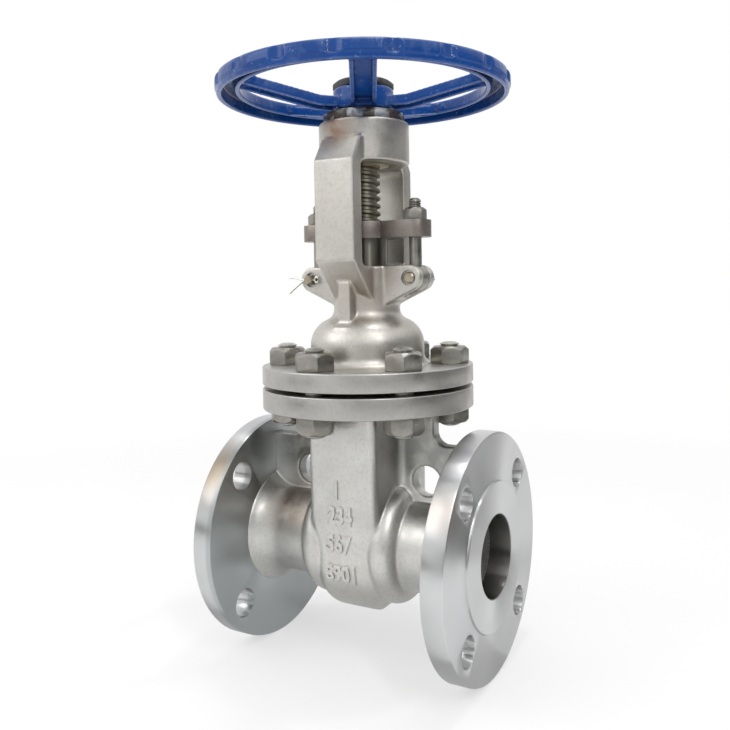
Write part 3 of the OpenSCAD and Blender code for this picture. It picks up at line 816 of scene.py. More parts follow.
@dataclass
class Bolting(Assembly):
    """Studs and nuts of the joint between body and bonnet."""

    stud_d: float = 12.7
    nut_af: float = 22.0
    nut_h: float = 11.0
    tip: float = 3.0
    thread_pitch: float = 1.6

    @staticmethod
    def nut(name: str, af: float, hole_d: float, height: float, low: float, crown: float,
            foot: float = 0.4) -> Piece:
        """Models a hexagon nut with turned corners.

        Args:
            name: Name of the piece.
            af: Width across the flats.
            hole_d: Diameter of the hole.
            height: Height of the nut.
            low: Height of its underside.
            crown: Height of the turned crown.
            foot: Height of the turned foot.

        Returns:
            The nut, standing on the Z axis.
        """
        reach = af / 2 / math.cos(math.pi / 6)
        piece = Bench.start(name, bpy.ops.mesh.primitive_cylinder_add, vertices=6,
                            radius=reach * MM, depth=height * MM,
                            location=(0, 0, (low + height / 2) * MM))
        bpy.ops.object.transform_apply(location=True, rotation=True, scale=True)
        lead = 0.9
        section = [(hole_d / 2, low + lead), (hole_d / 2 + lead, low), (af / 2 - 0.2, low),
                   (reach + 0.1, low + foot), (reach + 0.1, low + height - crown),
                   (af / 2 - 0.9, low + height), (hole_d / 2 + lead, low + height),
                   (hole_d / 2, low + height - lead)]
        Bench.combine(piece, Bench.lathe("turned", section, steps=72), "INTERSECT")
        Bench.soften(piece, 0.28, 2, 28)
        return piece

    def stud(self) -> Piece:
        """Models a stud with domed ends and threads where it stands out of its nuts."""
        radius, root = self.stud_d / 2, self.stud_d / 2 - 0.75
        top = JOINT.bonnet_high + self.nut_h + self.tip
        bottom = JOINT.body_low - self.nut_h - self.tip
        right: list[Point] = []
        z = top - 1.4
        while z > top - 6:
            right += [(radius, z), (radius, z - 0.5), (root, z - 0.9), (root, z - 1.1)]
            z -= self.thread_pitch
        half = [(0.0, top), (root * 0.55, top - 0.15), (root * 0.85, top - 0.6), (root, top - 1.2)]
        upper = half + right + [(radius, z)]
        lower = [(across, bottom + top - along) for across, along in reversed(upper)]
        return Bench.lathe("bonnet_stud", upper + lower, steps=36, closed=False)

    def build(self, steel: Finish, pale: Finish) -> None:
        """Models one of each and copies them round the bolt circle."""
        hole = self.stud_d - 0.2
        stud = self.stud()
        upper = self.nut("upper_nut", self.nut_af, hole, self.nut_h, JOINT.bonnet_high, 2.6)
        lower = self.nut("lower_nut", self.nut_af, hole, self.nut_h,
                         JOINT.body_low - self.nut_h, 0.5, 2.6)
        spins = (11, 27, 4, 19, 6, 38)
        for i in range(1, JOINT.count + 1):
            at = (Matrix.Rotation(math.radians(JOINT.turn + 360 * i / JOINT.count), 4, "Z")
                  @ Matrix.Translation((JOINT.circle_r * MM, 0, 0)))
            for part, spin in ((stud, 0), (upper, spins[i - 1]), (lower, spins[-i])):
                own = Matrix.Rotation(math.radians(spin), 4, "Z")
                node = f"{part.name}_{i}"
                twin = Bench.copy(part, node + "_threaded" if part is stud else node + "_turned",
                                  at @ own)
                self.hand_over(twin, pale if part is stud else steel, "bolting_steel",
                               Body.VALVE, (node,))
        for part in (stud, upper, lower):
            bpy.data.objects.remove(part)


@dataclass
class PipeBody(Assembly):
    """Body casting with its two machined end flanges and its bonnet flange."""

    half_length: float = 89.0
    bore_d: float = 50.8
    flange_d: float = 152.4
    flange_t: float = 14.3
    face_d: float = 92.1
    face_h: float = 1.6
    bolt_circle_d: float = 120.65
    hole_d: float = 19.05
    neck_r: float = 29.3
    flare_l: float = 18.0
    flare_r: float = 22.0
    shoulder_r: float = 38.5
    shoulder_edge: float = 10.0
    chamber_w: float = 49.0
    chamber_d: float = 74.0
    chamber_drop: float = 8.0
    corner_r: float = 4.5
    bottom_r: float = 20.0
    bottom_corner_r: float = 13.0
    soft_from: float = 24.0
    wall: float = 6.5
    seat_r: float = 31.2
    disc_hole_r: float = 20.0
    web_t: float = 10.0
    web_reach: float = 49.3
    web_h: float = 66.0
    web_hole_r: float = 9.8
    web_fillet: float = 5.0
    web_edge_r: float = 8.0
    window_inset: float = 5.3
    window_drop: float = 5.0
    figure_h: float = 10.8
    back: float = field(init=False)

    def __post_init__(self) -> None:
        """Works out where the back faces of the end flanges are."""
        self.back = self.half_length - self.face_h - self.flange_t

    def chamber(self, name: str, shrink: float, top: float) -> Piece:
        """Models the gate chamber: straight above, round below.

        Args:
            name: Name of the piece.
            shrink: Distance inside the outer surface.
            top: Height of its top.

        Returns:
            The closed shape.
        """
        width, depth = self.chamber_w - 2 * shrink, self.chamber_d - 2 * shrink
        corner = max(self.corner_r - shrink, 1.5)
        round_corner = max(self.bottom_corner_r - shrink, 1.5)
        edge = self.bottom_r - shrink
        drop = -self.chamber_drop
        shares = [i / 6 for i in range(7)]
        outlines = [round_rectangle(width, depth, round_corner + (corner - round_corner)
                                    * share * share * (3 - 2 * share)) for share in shares]
        heights = [drop + (self.soft_from - drop) * share for share in shares]
        shape = Bench.loft(name, outlines + outlines[-1:], heights + [top])
        half = width / 2 - round_corner
        disc = [(0.0, -width / 2),
                *arc((depth / 2 - round_corner, -half), round_corner, -90, 0, 8),
                *arc((depth / 2 - round_corner, half), round_corner, 0, 90, 8),
                (0.0, width / 2)]
        wheel = Bench.lathe("round_bottom", disc, Axis.X, 96, closed=False)
        Bench.shift(wheel, 0, 0, drop)
        Bench.combine(shape, wheel, "UNION")
        low = drop - depth / 2
        side = round_rectangle(width + 0.02, top + 40 - low, edge, (0, (top + 40 + low) / 2), 8)
        Bench.combine(shape, Bench.prism("side_view", side, Axis.Y, -THROUGH, THROUGH), "INTERSECT")
        return shape

    def neck(self) -> Piece:
        """Models both necks with their shoulders and flares as one turned shape."""
        start = self.back - self.flare_l
        ring = self.neck_r + self.flare_r
        half = arc((self.shoulder_r - self.shoulder_edge, self.chamber_w / 2),
                   self.shoulder_edge, -80, 84, 16)
        half = [(r, x) for r, x in half if r >= self.neck_r - 0.2]
        flare = [(ring + self.flare_r * math.cos(a), start + self.flare_r * math.sin(a))
                 for a in (math.pi - i * math.radians(54.9) / 10 for i in range(11))]
        half += flare + [(flare[-1][0], self.back + 1.5)]
        left = [(r, -x) for r, x in reversed(half)]
        section = [(0.0, -self.back - 1.5), *left, *half, (0.0, self.back + 1.5)]
        return Bench.lathe("necks", section, Axis.X, 128, closed=False)

    def web(self, side: int) -> Piece:
        """Models the web between the chamber and one end flange, with its round window."""
        step, reach = self.web_edge_r, self.web_reach
        outline = [(0.0, 0.0), (self.back + 1, 0.0), (self.back + 1, self.web_h)]
        outline += arc((reach + step, self.web_h + step), step, 270, 180)
        outline += [(reach, JOINT.body_low + 1), (0.0, JOINT.body_low + 1)]
        piece = Bench.prism("web", [(x * side, z) for x, z in outline], Axis.Y,
                            -self.web_t / 2, self.web_t / 2)
        centre = ((reach - self.window_inset) * side,
                  (self.neck_r + self.web_h) / 2 - self.window_drop)
        hole = Bench.rod("hole", centre, self.web_hole_r, Axis.Y, -2 * self.web_t, 2 * self.web_t)
        Bench.combine(piece, hole, "DIFFERENCE")
        return piece

    def web_root(self, side: int) -> Piece:
        """Models the hollow fillets where a web leaves the chamber."""
        r, foot = self.web_fillet, self.chamber_w / 2
        half = self.web_t / 2
        outline = [(foot - 1, -half - r), *arc((foot + r, -half - r), r, 180, 90, 6),
                   *arc((foot + r, half + r), r, 270, 180, 6), (foot - 1, half + r)]
        return Bench.prism("web_root", [(x * side, y) for x, y in outline], Axis.Z, 20,
                           JOINT.body_low + 1)

    def figures(self) -> Piece:
        """Models the plain raised figures on the chamber's front."""
        rows = (("1", -3.4, 39.0, 0.0), ("234", -0.8, 22.8, 0.0), ("567", -2.2, 4.8, 0.0),
                ("8901", -0.5, -14.0, 9.3))
        shapes = []
        for words, x, z, lean in rows:
            text = Bench.start("figures", bpy.ops.object.text_add, location=(0, 0, 0))
            text.data.body = words
            text.data.align_x = "CENTER"
            text.data.align_y = "CENTER"
            text.data.size = self.figure_h / 0.73 * MM
            text.data.extrude = 1.2 * MM
            text.data.offset = 0.40 * MM
            text.data.bevel_depth = 0.45 * MM
            text.data.bevel_resolution = 1
            text.data.resolution_u = 5
            Bench.pick(text)
            bpy.ops.object.convert(target="MESH")
            shape = bpy.context.active_object
            face = self.chamber_d / 2 * math.cos(math.radians(lean))
            turn = Matrix.Rotation(math.radians(90 + lean), 4, "X")
            shape.data.transform(Matrix.Translation((x * MM, (0.5 - face) * MM, z * MM)) @ turn
                                 @ Matrix.Diagonal((0.8, 1, 1, 1)))
            shapes.append(shape)
        piece = Bench.join(shapes)
        piece.name = "cast_figures"
        Bench.pick(piece)
        bpy.ops.object.mode_set(mode="EDIT")
        Bench.close_up()
        return piece

    def casting(self) -> Piece:
        """Fuses chamber, necks and webs, and cuts the waterway."""
        shapes = [self.chamber("body_casting", 0.0, JOINT.body_low + 1), self.neck()]
        for side in SIDES:
            shapes += [self.web(side), self.web_root(side)]
        piece = Bench.join(shapes)
        Bench.cast_skin(piece, 0.9, 7, 0.55)
        inside = self.chamber("waterway", self.wall, JOINT.body_high + 1)
        seat = self.chamber_w / 2 - self.wall / 2
        bore = self.bore_d / 2
        end = self.back + 4
        section = [(0.0, -end), (bore, -end), (bore, -seat), (self.seat_r, -seat),
                   (self.seat_r, seat), (bore, seat), (bore, end), (0.0, end)]
        Bench.combine(inside, Bench.lathe("bore", section, Axis.X, 96, closed=False), "UNION")
        Bench.combine(piece, inside, "DIFFERENCE")
        return piece

    def end_flange(self) -> Piece:
        """Models the outlet's flange with its raised face and bolt holes."""
        back, front = self.back, self.back + self.flange_t
        outer, bore, face = self.flange_d / 2, self.bore_d / 2, self.face_d / 2
        section = [(bore, back), (outer - 1.2, back), (outer - 0.4, back + 0.35),
                   (outer, back + 1.2), (outer, front - 1.4), (outer - 0.45, front - 0.4),
                   (outer - 1.4, front), (face + 0.5, front), (face + 0.15, front + 0.2),
                   (face, front + 0.6), (face - 0.1, self.half_length - 0.35),
                   (face - 0.5, self.half_length), (bore + 0.8, self.half_length),
                   (bore + 0.2, self.half_length - 0.25), (bore, self.half_length - 0.9)]
        piece = Bench.lathe("outlet_flange", section, Axis.X, 160)
        reach = self.bolt_circle_d / 2 * math.cos(math.pi / 4)
        for y in (-reach, reach):
            for z in (-reach, reach):
                hole = Bench.rod("hole", (y, z), self.hole_d / 2, Axis.X, back - OVERCUT,
                                 self.half_length + OVERCUT)
                Bench.combine(piece, hole, "DIFFERENCE")
        Bench.soften(piece, 0.5, 2, 60)
        return piece

    def joint_flange(self) -> Piece:
        """Models the flange that carries the bonnet, with its stud holes."""
        shape = JOINT.disc("body_top_flange", self.disc_hole_r, JOINT.body_low, JOINT.body_high)
        opening = Bench.prism("opening",
                              round_rectangle(self.chamber_w - 2 * self.wall,
                                              self.chamber_d - 2 * self.wall, 1.5),
                              Axis.Z, JOINT.body_low - OVERCUT, JOINT.body_high + OVERCUT)
        Bench.combine(shape, opening, "DIFFERENCE")
        JOINT.drill(shape)
        return shape

    def build(self, cast: Finish, turned: Finish, rim: Finish) -> None:
        """Models and dresses the body's pieces."""
        self.hand_over(self.casting(), cast, "body_casting", Body.VALVE, ("body",), 60)
        self.hand_over(self.figures(), cast, "body_casting", Body.VALVE, ("body",), 40)
        outlet = self.end_flange()
        inlet = Bench.mirrored(outlet, "inlet_flange")
        for piece in (outlet, inlet):
            self.hand_over(piece, turned, "body_casting", Body.VALVE, ("body",))
        self.hand_over(self.joint_flange(), rim, "body_casting", Body.VALVE, ("body",))


@dataclass
class Bonnet(Assembly):
    """Bonnet casting: flange, dome, stuffing box, yoke, ribs and ears."""

    dome_r: float = 37.5
    dome_wall: float = 6.8
    crown_r: float = 18.0
    crown_z: float = 129.0
    neck_fillet: float = 7.0
    box_r: float = 21.8
    box_top: float = 180.0
    box_floor: float = 155.0
    yoke_half: float = 39.3
    arm_t: float = 10.6
    arm_w: float = 28.5
    foot_drop: float = 25.5
    window_top: float = 245.5
    window_corner: float = 4.5
    boss_r: float = 29.5
    rib_t: float = 8.8
    rib_reach: float = 58.0
    pad_reach: float = 67.0
    eye_x: float = 36.4
    ear_r: float = 8.3
    ear_t: float = 5.5
    ear_drop: float = 27.0
    slot_w: float = 11.0
    slot_depth: float = 9.5
    pin_r: float = 3.2
    pin_seat_r: float = 5.0
    pin_seat_depth: float = 2.2
    gland_r: float = 14.5
    collar_r: float = 21.3
    collar_z: float = 258.85

    def dome(self) -> Piece:
        """Models the dome and the stuffing box as one turned shape."""
        foot, fillet = 6.0, self.neck_fillet
        crown_x = self.dome_r - self.crown_r
        across = self.box_r + fillet - crown_x
        lean = math.degrees(math.acos(across / (self.crown_r + fillet)))
        above = self.crown_z + across * math.tan(math.radians(lean))
        section = [(0.0, JOINT.bonnet_low + 3), (self.dome_r + foot, JOINT.bonnet_low + 3),
                   *arc((self.dome_r + foot, JOINT.bonnet_high + foot), foot, 270, 180, 6),
                   *arc((crown_x, self.crown_z), self.crown_r, 0, lean, 10),
                   *arc((self.box_r + fillet, above), fillet, 180 + lean - 6, 180, 6),
                   (self.box_r, self.box_top - 0.6), (self.box_r - 0.6, self.box_top),
                   (0.0, self.box_top)]
        return Bench.lathe("bonnet_casting", section, Axis.Z, 128, closed=False)

    def yoke(self) -> list[Piece]:
        """Models the yoke's frame, its boss and the ribs below its arms."""
        half, foot = self.yoke_half, self.arm_w / 2
        foot_z = self.box_top - self.foot_drop
        outline = [(-foot, foot_z), (foot, foot_z),
                   (half, self.box_top + 3), (half, self.window_top),
                   (self.boss_r, self.window_top + 15), (-self.boss_r, self.window_top + 15),
                   (-half, self.window_top), (-half, self.box_top + 3)]
        frame_piece = Bench.prism("yoke", outline, Axis.X, -foot, foot)
        window = round_rectangle(2 * (half - self.arm_t), self.window_top - self.box_top,
                                 self.window_corner, (0, (self.window_top + self.box_top) / 2))
        Bench.combine(frame_piece, Bench.prism("window", window, Axis.X, -THROUGH, THROUGH),
                      "DIFFERENCE")
        boss = Bench.lathe("boss", rounded_section(2.0, self.boss_r, self.window_top + 0.3,
                                                   BOSS_TOP, 0.8), Axis.Z, 96)
        end = self.rib_reach / 2
        rib = rectangle(-end, end, self.crown_z, self.box_top - 10)
        ribs = Bench.prism("ribs", rib, Axis.X, -self.rib_t / 2, self.rib_t / 2)
        pads = Bench.prism("rib_pads", round_rectangle(self.rib_t + 4, self.pad_reach, 2.0),
                           Axis.Z, self.crown_z, self.crown_z + 13)
        return [frame_piece, boss, ribs, pads]

    def ears(self, side: int) -> Piece:
        """Models the pair of ears that hold one eye bolt, with the slot between them."""
        root = (self.box_r - 7, self.box_top - self.ear_drop)
        reach = math.dist(root, (self.eye_x, EYE_Z))
        lean = (math.atan2(EYE_Z - root[1], self.eye_x - root[0]) - math.asin(self.ear_r / reach))
        start = math.degrees(lean) - 90
        outline = [root, *arc((self.eye_x, EYE_Z), self.ear_r, start, 90, 14),
                   (root[0], EYE_Z + self.ear_r)]
        thick = self.slot_w / 2 + self.ear_t
        piece = Bench.prism("ears", [(x * side, z) for x, z in outline], Axis.Y, -thick, thick)
        slot = rectangle(self.eye_x - self.slot_depth, self.eye_x + 3 * self.ear_r,
                         self.box_top - 40, self.box_top + 20)
        Bench.combine(piece, Bench.prism("slot", [(x * side, z) for x, z in slot], Axis.Y,
                                         -self.slot_w / 2, self.slot_w / 2), "DIFFERENCE")
        return piece

    def pin_way(self, side: int) -> Piece:
        """Models the way of one eye bolt's pin, with a wider seat in each outer face."""
        face = self.slot_w / 2 + self.ear_t
        deep = face - self.pin_seat_depth
        section = [(0.0, -face - 5), (self.pin_seat_r, -face - 5), (self.pin_seat_r, -deep),
                   (self.pin_r, -deep), (self.pin_r, deep), (self.pin_seat_r, deep),
                   (self.pin_seat_r, face + 5), (0.0, face + 5)]
        way = Bench.lathe("pin_way", section, Axis.Y, 40, closed=False)
        Bench.shift(way, side * self.eye_x, 0, EYE_Z)
        return way

    def casting(self) -> Piece:
        """Fuses the bonnet's shapes and bores them for the stem and its sleeve."""
        piece = Bench.join([self.dome(), *self.yoke(), *map(self.ears, SIDES)])
        Bench.cast_skin(piece, 0.8, 6, 0.6)
        top = BOSS_TOP + 2
        wall = self.dome_wall
        section = [(0.0, JOINT.bonnet_low - 2), (self.dome_r - wall, JOINT.bonnet_low - 2),
                   *arc((self.dome_r - self.crown_r, self.crown_z), self.crown_r - wall, 0, 90, 6),
                   (STEM_BORE_R, self.crown_z + self.crown_r - wall),
                   (STEM_BORE_R, self.box_floor), (self.gland_r, self.box_floor),
                   (self.gland_r, self.box_top + 8), (STEM_BORE_R, self.box_top + 8),
                   (STEM_BORE_R, self.window_top - 8), (SLEEVE_R, self.window_top - 8),
                   (SLEEVE_R, self.collar_z), (self.collar_r, self.collar_z),
                   (self.collar_r, top), (0.0, top)]
        Bench.combine(piece, Bench.lathe("bore", section, Axis.Z, 96, closed=False), "DIFFERENCE")
        for side in SIDES:
            Bench.combine(piece, self.pin_way(side), "DIFFERENCE")
        return piece

    def flange(self) -> Piece:
        """Models the bonnet's flange with its stud holes."""
        shape = JOINT.disc("bonnet_flange", self.dome_r - self.dome_wall, JOINT.bonnet_low,
                           JOINT.bonnet_high)
        JOINT.drill(shape)
        return shape

    def build(self, cast: Finish, rim: Finish) -> None:
        """Models and dresses the bonnet's pieces."""
        self.hand_over(self.casting(), cast, "bonnet_casting", Body.VALVE, ("bonnet",), 60)
        self.hand_over(self.flange(), rim, "bonnet_casting", Body.VALVE, ("bonnet",))


@dataclass
class Gland(Assembly):
    """Gland flange with the eye bolts, pins and split pins that pull it down."""

    low: float = 197.8
    high: float = 208.6
    span: float = 72.8
    end: float = 10.0
    corner_r: float = 9.0
    width: float = 20.0
    middle_r: float = 19.3
    bolt_d: float = 8.0
    bolt_gap: float = 0.8
    bolt_top: float = 222.8
    eye_d: float = 16.0
    eye_w: float = 10.0
    pin_d: float = 6.0
    head_d: float = 7.2
    head_h: float = 2.0
    grip: float = 22.0
    nut_af: float = 13.0
    nut_h: float = 8.0
    wire_d: float = 1.7
    leg: float = 12.5

    def flange(self) -> Piece:
        """Models the gland flange: a bar with a round middle and two bolt holes."""
        bar = Bench.prism("gland_flange_cast",
                          round_rectangle(self.span + 2 * self.end, self.width, self.corner_r,
                                          steps=12), Axis.Z, self.low, self.high)
        middle = Bench.rod("middle", (0.0, 0.0), self.middle_r, Axis.Z, self.low, self.high)
        Bench.combine(bar, middle, "UNION")
        bolt_hole_r = self.bolt_d / 2 + self.bolt_gap
        for x, radius in ((0.0, STEM_BORE_R), (-self.span / 2, bolt_hole_r),
                          (self.span / 2, bolt_hole_r)):
            hole = Bench.rod("hole", (x, 0.0), radius, Axis.Z, self.low - OVERCUT,
                             self.high + OVERCUT)
            Bench.combine(bar, hole, "DIFFERENCE")
        Bench.soften(bar, 1.0, 3, 60)
        return bar

    def eye_bolt(self) -> Piece:
        """Models an eye bolt with a rounded eye and a threaded end."""
        radius, half = self.bolt_d / 2, self.eye_w / 2
        eye = Bench.lathe("eye_bolt", rounded_section(self.pin_d / 2 + 0.2, self.eye_d / 2,
                                                      -half, half, 1.5), Axis.Y, 48)
        Bench.shift(eye, 0, 0, EYE_Z)
        root = radius - 0.7
        thread: list[Point] = []
        z = self.high - 4
        while z < self.bolt_top - 2.2:
            thread += [(root, z), (root, z + 0.15), (radius, z + 0.65), (radius, z + 1.1)]
            z += 1.5
        section = [(0.0, EYE_Z + 5), (radius, EYE_Z + 5), (radius, self.high - 4.5),
                   *thread, (root, self.bolt_top - 0.9), (root - 1.1, self.bolt_top - 0.2),
                   (0.0, self.bolt_top)]
        shank = Bench.lathe("shank", section, Axis.Z, 40, closed=False)
        return Bench.join([eye, shank])

    def pin(self) -> Piece:
        """Models a pin with a sunk head on +Y and a plain end on -Y that reaches past the split
        pin.
        """
        radius, half, head = self.pin_d / 2, self.grip / 2, self.head_d / 2
        tail = -half - 0.2 - 3 * self.wire_d
        section = [(0.0, tail), (radius - 0.8, tail), (radius, tail + 0.8),
                   (radius, half - self.head_h), (head, half - self.head_h),
                   (head, half - 0.7), (head - 0.7, half - 0.1), (0.0, half)]
        piece = Bench.lathe("eye_bolt_pin", section, Axis.Y, 40, closed=False)
        Bench.shift(piece, 0, 0, EYE_Z)
        return piece

    def split_pin(self) -> Piece:
        """Models a split pin: a loop on +X and two bent legs on -X."""
        y = -(self.grip / 2 + 1.2 * self.wire_d)
        z = EYE_Z
        half = self.pin_d / 2 + 1
        thin = self.wire_d * 0.40
        legs = []
        for sign, lean, length in ((1, 8, self.leg), (-1, -36, 1.2 * self.leg)):
            path = [Vector((half + 3.0, y, z + 0.9 * sign)),
                    Vector((half + 1.2, y, z + 1.7 * sign)),
                    Vector((half, y, z + 0.45 * sign)), Vector((-half, y, z + 0.4 * sign))]
            angle = math.radians(lean)
            for share, sag in ((0.2, 0.0), (0.6, 0.25), (1.0, 0.0)):
                path.append(Vector((-half - length * share * math.cos(angle), y,
                                    z + length * share * math.sin(angle) + sag)))
            legs.append(wire("split_pin", [p * MM for p in path], thin * MM))
        return Bench.join(legs)

    def build(self, cast: Finish, steel: Finish, pins: Finish, bright: Finish) -> None:
        """Models one of each piece and copies them to both sides."""
        self.hand_over(self.flange(), cast, "gland_flange_steel", Body.VALVE, ("gland_flange",), 30)
        bolt, pin, split = self.eye_bolt(), self.pin(), self.split_pin()
        nut = Bolting.nut("eye_bolt_nut", self.nut_af, self.bolt_d - 0.2, self.nut_h, self.high,
                          1.8)
        for side, word in ((-1, "left"), (1, "right")):
            turn = Matrix.Rotation(math.pi if side > 0 else 0, 4, "Z")
            at = Matrix.Translation((side * self.span / 2 * MM, 0, 0)) @ turn
            for part, finish, slot in ((bolt, steel, "bolting_steel"),
                                       (pin, pins, "pin_steel"),
                                       (split, bright, "wire_steel"),
                                       (nut, steel, "bolting_steel")):
                node = f"{part.name}_{word}"
                if part is split and side > 0:
                    twin = Bench.mirrored(part, node + "_formed", Axis.Y)
                    Bench.shift(twin, self.span / 2, 0, 0)
                else:
                    twin = Bench.copy(part, node + "_formed", at)
                self.hand_over(twin, finish, slot, Body.VALVE, (node,))
        for part in (bolt, pin, split, nut):
            bpy.data.objects.remove(part)


def wire(name: str, path: list[Vector], radius: float) -> Piece:
    """Models a bent round wire along a smooth line.

    Args:
        name: Name of the piece.
        path: Points of the line, in metres.
        radius: Radius of the wire, in metres.

    Returns:
        The wire as a closed mesh.
    """
    curve = bpy.data.curves.new(name, "CURVE")
    curve.dimensions = "3D"
    curve.bevel_depth = radius
    curve.bevel_resolution = 3
    curve.use_fill_caps = True
    curve.resolution_u = 5
    spline = curve.splines.new("BEZIER")
    spline.bezier_points.add(len(path) - 1)
    for knot, place in zip(spline.bezier_points, path):
        knot.co = place
        knot.handle_left_type = knot.handle_right_type = "AUTO"
    piece = bpy.data.objects.new(name, curve)
    bpy.context.scene.collection.objects.link(piece)
    Bench.pick(piece)
    bpy.ops.object.convert(target="MESH")
    return bpy.context.active_object


@dataclass
class Stem(Assembly):
    """Rising stem with a left-hand screw thread."""

    radius: float = 10.0
    depth: float = 2.2
    pitch: float = 5.0
    thread_bottom: float = 191.5
    top: float = 299.5
    head_z: float = 36.0
    head_h: float = 5.0
    neck_r: float = 8.0
    back_z: float = 77.7
    back_h: float = 6.0

    def thread(self) -> Piece:
        """Models the threaded length with the Screw modifier and squares its ends."""
        root, crest, pitch = self.radius - self.depth, self.radius, self.pitch
        start = self.thread_bottom - 2 * pitch
        section = [(root, 0.0), (root, 0.30), (crest, 0.50), (crest, 0.81), (root, 1.0)]
        points = [Vector((r, 0, start + share * pitch)) * MM for r, share in section]
        piece = Bench.chain("stem_thread", points, closed=False)
        bpy.ops.object.mode_set(mode="OBJECT")
        turns = math.ceil((self.top - start) / pitch) + 2
        Bench.apply(piece, "SCREW", angle=-math.tau, screw_offset=pitch * MM, iterations=turns,
                    steps=48, render_steps=48, use_merge_vertices=True, merge_threshold=1e-6,
                    use_normal_calculate=True)
        bpy.ops.object.mode_set(mode="EDIT")
        for z, above in ((self.thread_bottom, False), (self.top, True)):
            bpy.ops.mesh.select_all(action="SELECT")
            bpy.ops.mesh.bisect(plane_co=(0, 0, z * MM), plane_no=(0, 0, 1), use_fill=True,
                                clear_inner=not above, clear_outer=above)
        Bench.close_up()
        return piece

    def build(self, turned: Finish) -> None:
        """Models the whole stem and dresses it."""
        radius, head_top = self.radius, self.head_z + self.head_h
        section = [(0.0, self.head_z), (radius, self.head_z), (radius, head_top),
                   (self.neck_r, head_top), (self.neck_r, head_top + 6), (radius, head_top + 6),
                   (radius, self.back_z), (radius + 3, self.back_z),
                   (radius + 3, self.back_z + self.back_h - 3),
                   (radius, self.back_z + self.back_h), (radius, self.thread_bottom - 1),
                   (radius - self.depth, self.thread_bottom + 1.2),
                   (0.0, self.thread_bottom + 1.2)]
        shank = Bench.lathe("stem_turned", section, Axis.Z, 64, closed=False)
        piece = Bench.join([shank, self.thread()])
        self.hand_over(piece, turned, "stem_steel", Body.STEM, ("stem",), 32)


@dataclass
class Handwheel(Assembly):
    """Cast handwheel: a channel rim with finger hollows, five channel spokes and a hub."""

    rim_low: float = 289.4
    rim_high: float = 301.18
    outer_r: float = 95.5
    band_r: float = 94.5
    hollow_count: int = 18
    hollow_r: float = 7.5
    hollow_depth: float = 2.6
    plain_h: float = 3.6
    edge_r: float = 3.6
    inner_r: float = 79.7
    wall: float = 3.4
    inner_lip_h: float = 8.8
    spoke_count: int = 5
    spoke_turn: float = -60.0
    spoke_w: float = 16.0
    spoke_h: float = 6.5
    spoke_wall: float = 2.6
    spoke_inset: float = 1.8
    knee_r: float = 31.0
    hub_low: float = 281.0
    hub_r: float = 19.8
    bore_r: float = 13.6

    def rim(self) -> Piece:
        """Models the channel rim and cuts a hollow for each finger above its plain band."""
        low, high, lip = self.rim_low, self.rim_high, self.rim_high - self.inner_lip_h
        outer, band, inner, wall, r = self.outer_r, self.band_r, self.inner_r, self.wall, 1.2
        edge = self.edge_r
        section = [(band - wall, low + 0.6), (band - wall + 0.8, low), (band - 0.8, low),
                   (band, low + 0.8), (band, low + self.plain_h - 0.4),
                   (outer, low + self.plain_h + 0.4),
                   *arc((outer - edge, high - edge), edge, 0, 90, 6),
                   *arc((inner + 2.2, high - 2.2), 2.2, 90, 180, 4), (inner, lip + 0.8),
                   (inner + 0.8, lip), (inner + wall - 0.8, lip), (inner + wall, lip + 0.8),
                   *arc((inner + wall + r, high - wall - r), r, 180, 90, 3),
                   *arc((band - wall - r, high - wall - r), r, 90, 0, 3)]
        ring = Bench.lathe("handwheel_enamelled", section, Axis.Z, 180)
        hollow = Bench.rod("hollow", (outer + self.hollow_r - self.hollow_depth, 0.0),
                           self.hollow_r, Axis.Z, low + self.plain_h, high + OVERCUT)
        hollows = Bench.ring_of(hollow, self.hollow_count,
                                self.spoke_turn + 180 / self.hollow_count)
        Bench.combine(ring, hollows, "DIFFERENCE")
        return ring

    def spoke(self) -> Piece:
        """Models one channel spoke along +X, level at the hub and rising to the rim."""
        hub_end, rim_end = self.hub_r - 3, self.inner_r + self.wall / 2
        z_hub = self.hub_low + 1.4 + self.spoke_h
        z_rim = self.rim_high - self.spoke_inset

        def side(lowered: float, inset: float) -> list[Point]:
            """Gives the spoke's side view, lowered and drawn in at its ends."""
            top = [(hub_end - inset, z_hub - lowered), (self.knee_r, z_hub - lowered),
                   (rim_end + inset, z_rim - lowered + 0.19 * inset)]
            return top + [(x, z - self.spoke_h) for x, z in reversed(top)]

        half = self.spoke_w / 2
        piece = Bench.prism("spoke", side(0.0, 0.0), Axis.Y, -half, half)
        Bench.combine(piece, Bench.prism("channel", side(self.spoke_wall, 2.0), Axis.Y,
                                         -half + self.spoke_wall, half - self.spoke_wall),
                      "DIFFERENCE")
        flare = 7.0
        left = self.inner_r - 0.4
        outline = [(left + 2, -half - flare), *arc((left - flare, -half - flare), flare, 0, 90, 6),
                   *arc((left - flare, half + flare), flare, 270, 360, 6), (left + 2, half + flare)]
        web = Bench.prism("web", outline, Axis.Z, z_rim - 4.6, z_rim - 0.2)
        return Bench.join([piece, web])

    def build(self, enamel: Finish) -> None:
        """Fuses rim, spokes and hub and dresses the wheel."""
        hub = Bench.lathe("hub", rounded_section(self.bore_r - 2, self.hub_r, self.hub_low,
                                                 HUB_TOP, 1.2), Axis.Z, 72)
        spokes = Bench.ring_of(self.spoke(), self.spoke_count, self.spoke_turn)
        piece = Bench.join([self.rim(), hub, spokes])
        Bench.cast_skin(piece, 0.7, 4, 0.6)
        bore = Bench.rod("bore", (0.0, 0.0), self.bore_r, Axis.Z, self.hub_low - OVERCUT,
                         self.rim_high + OVERCUT, 60)
        Bench.combine(piece, bore, "DIFFERENCE")
        self.hand_over(piece, enamel, "wheel_enamel", Body.WHEEL, ("handwheel",), 60)


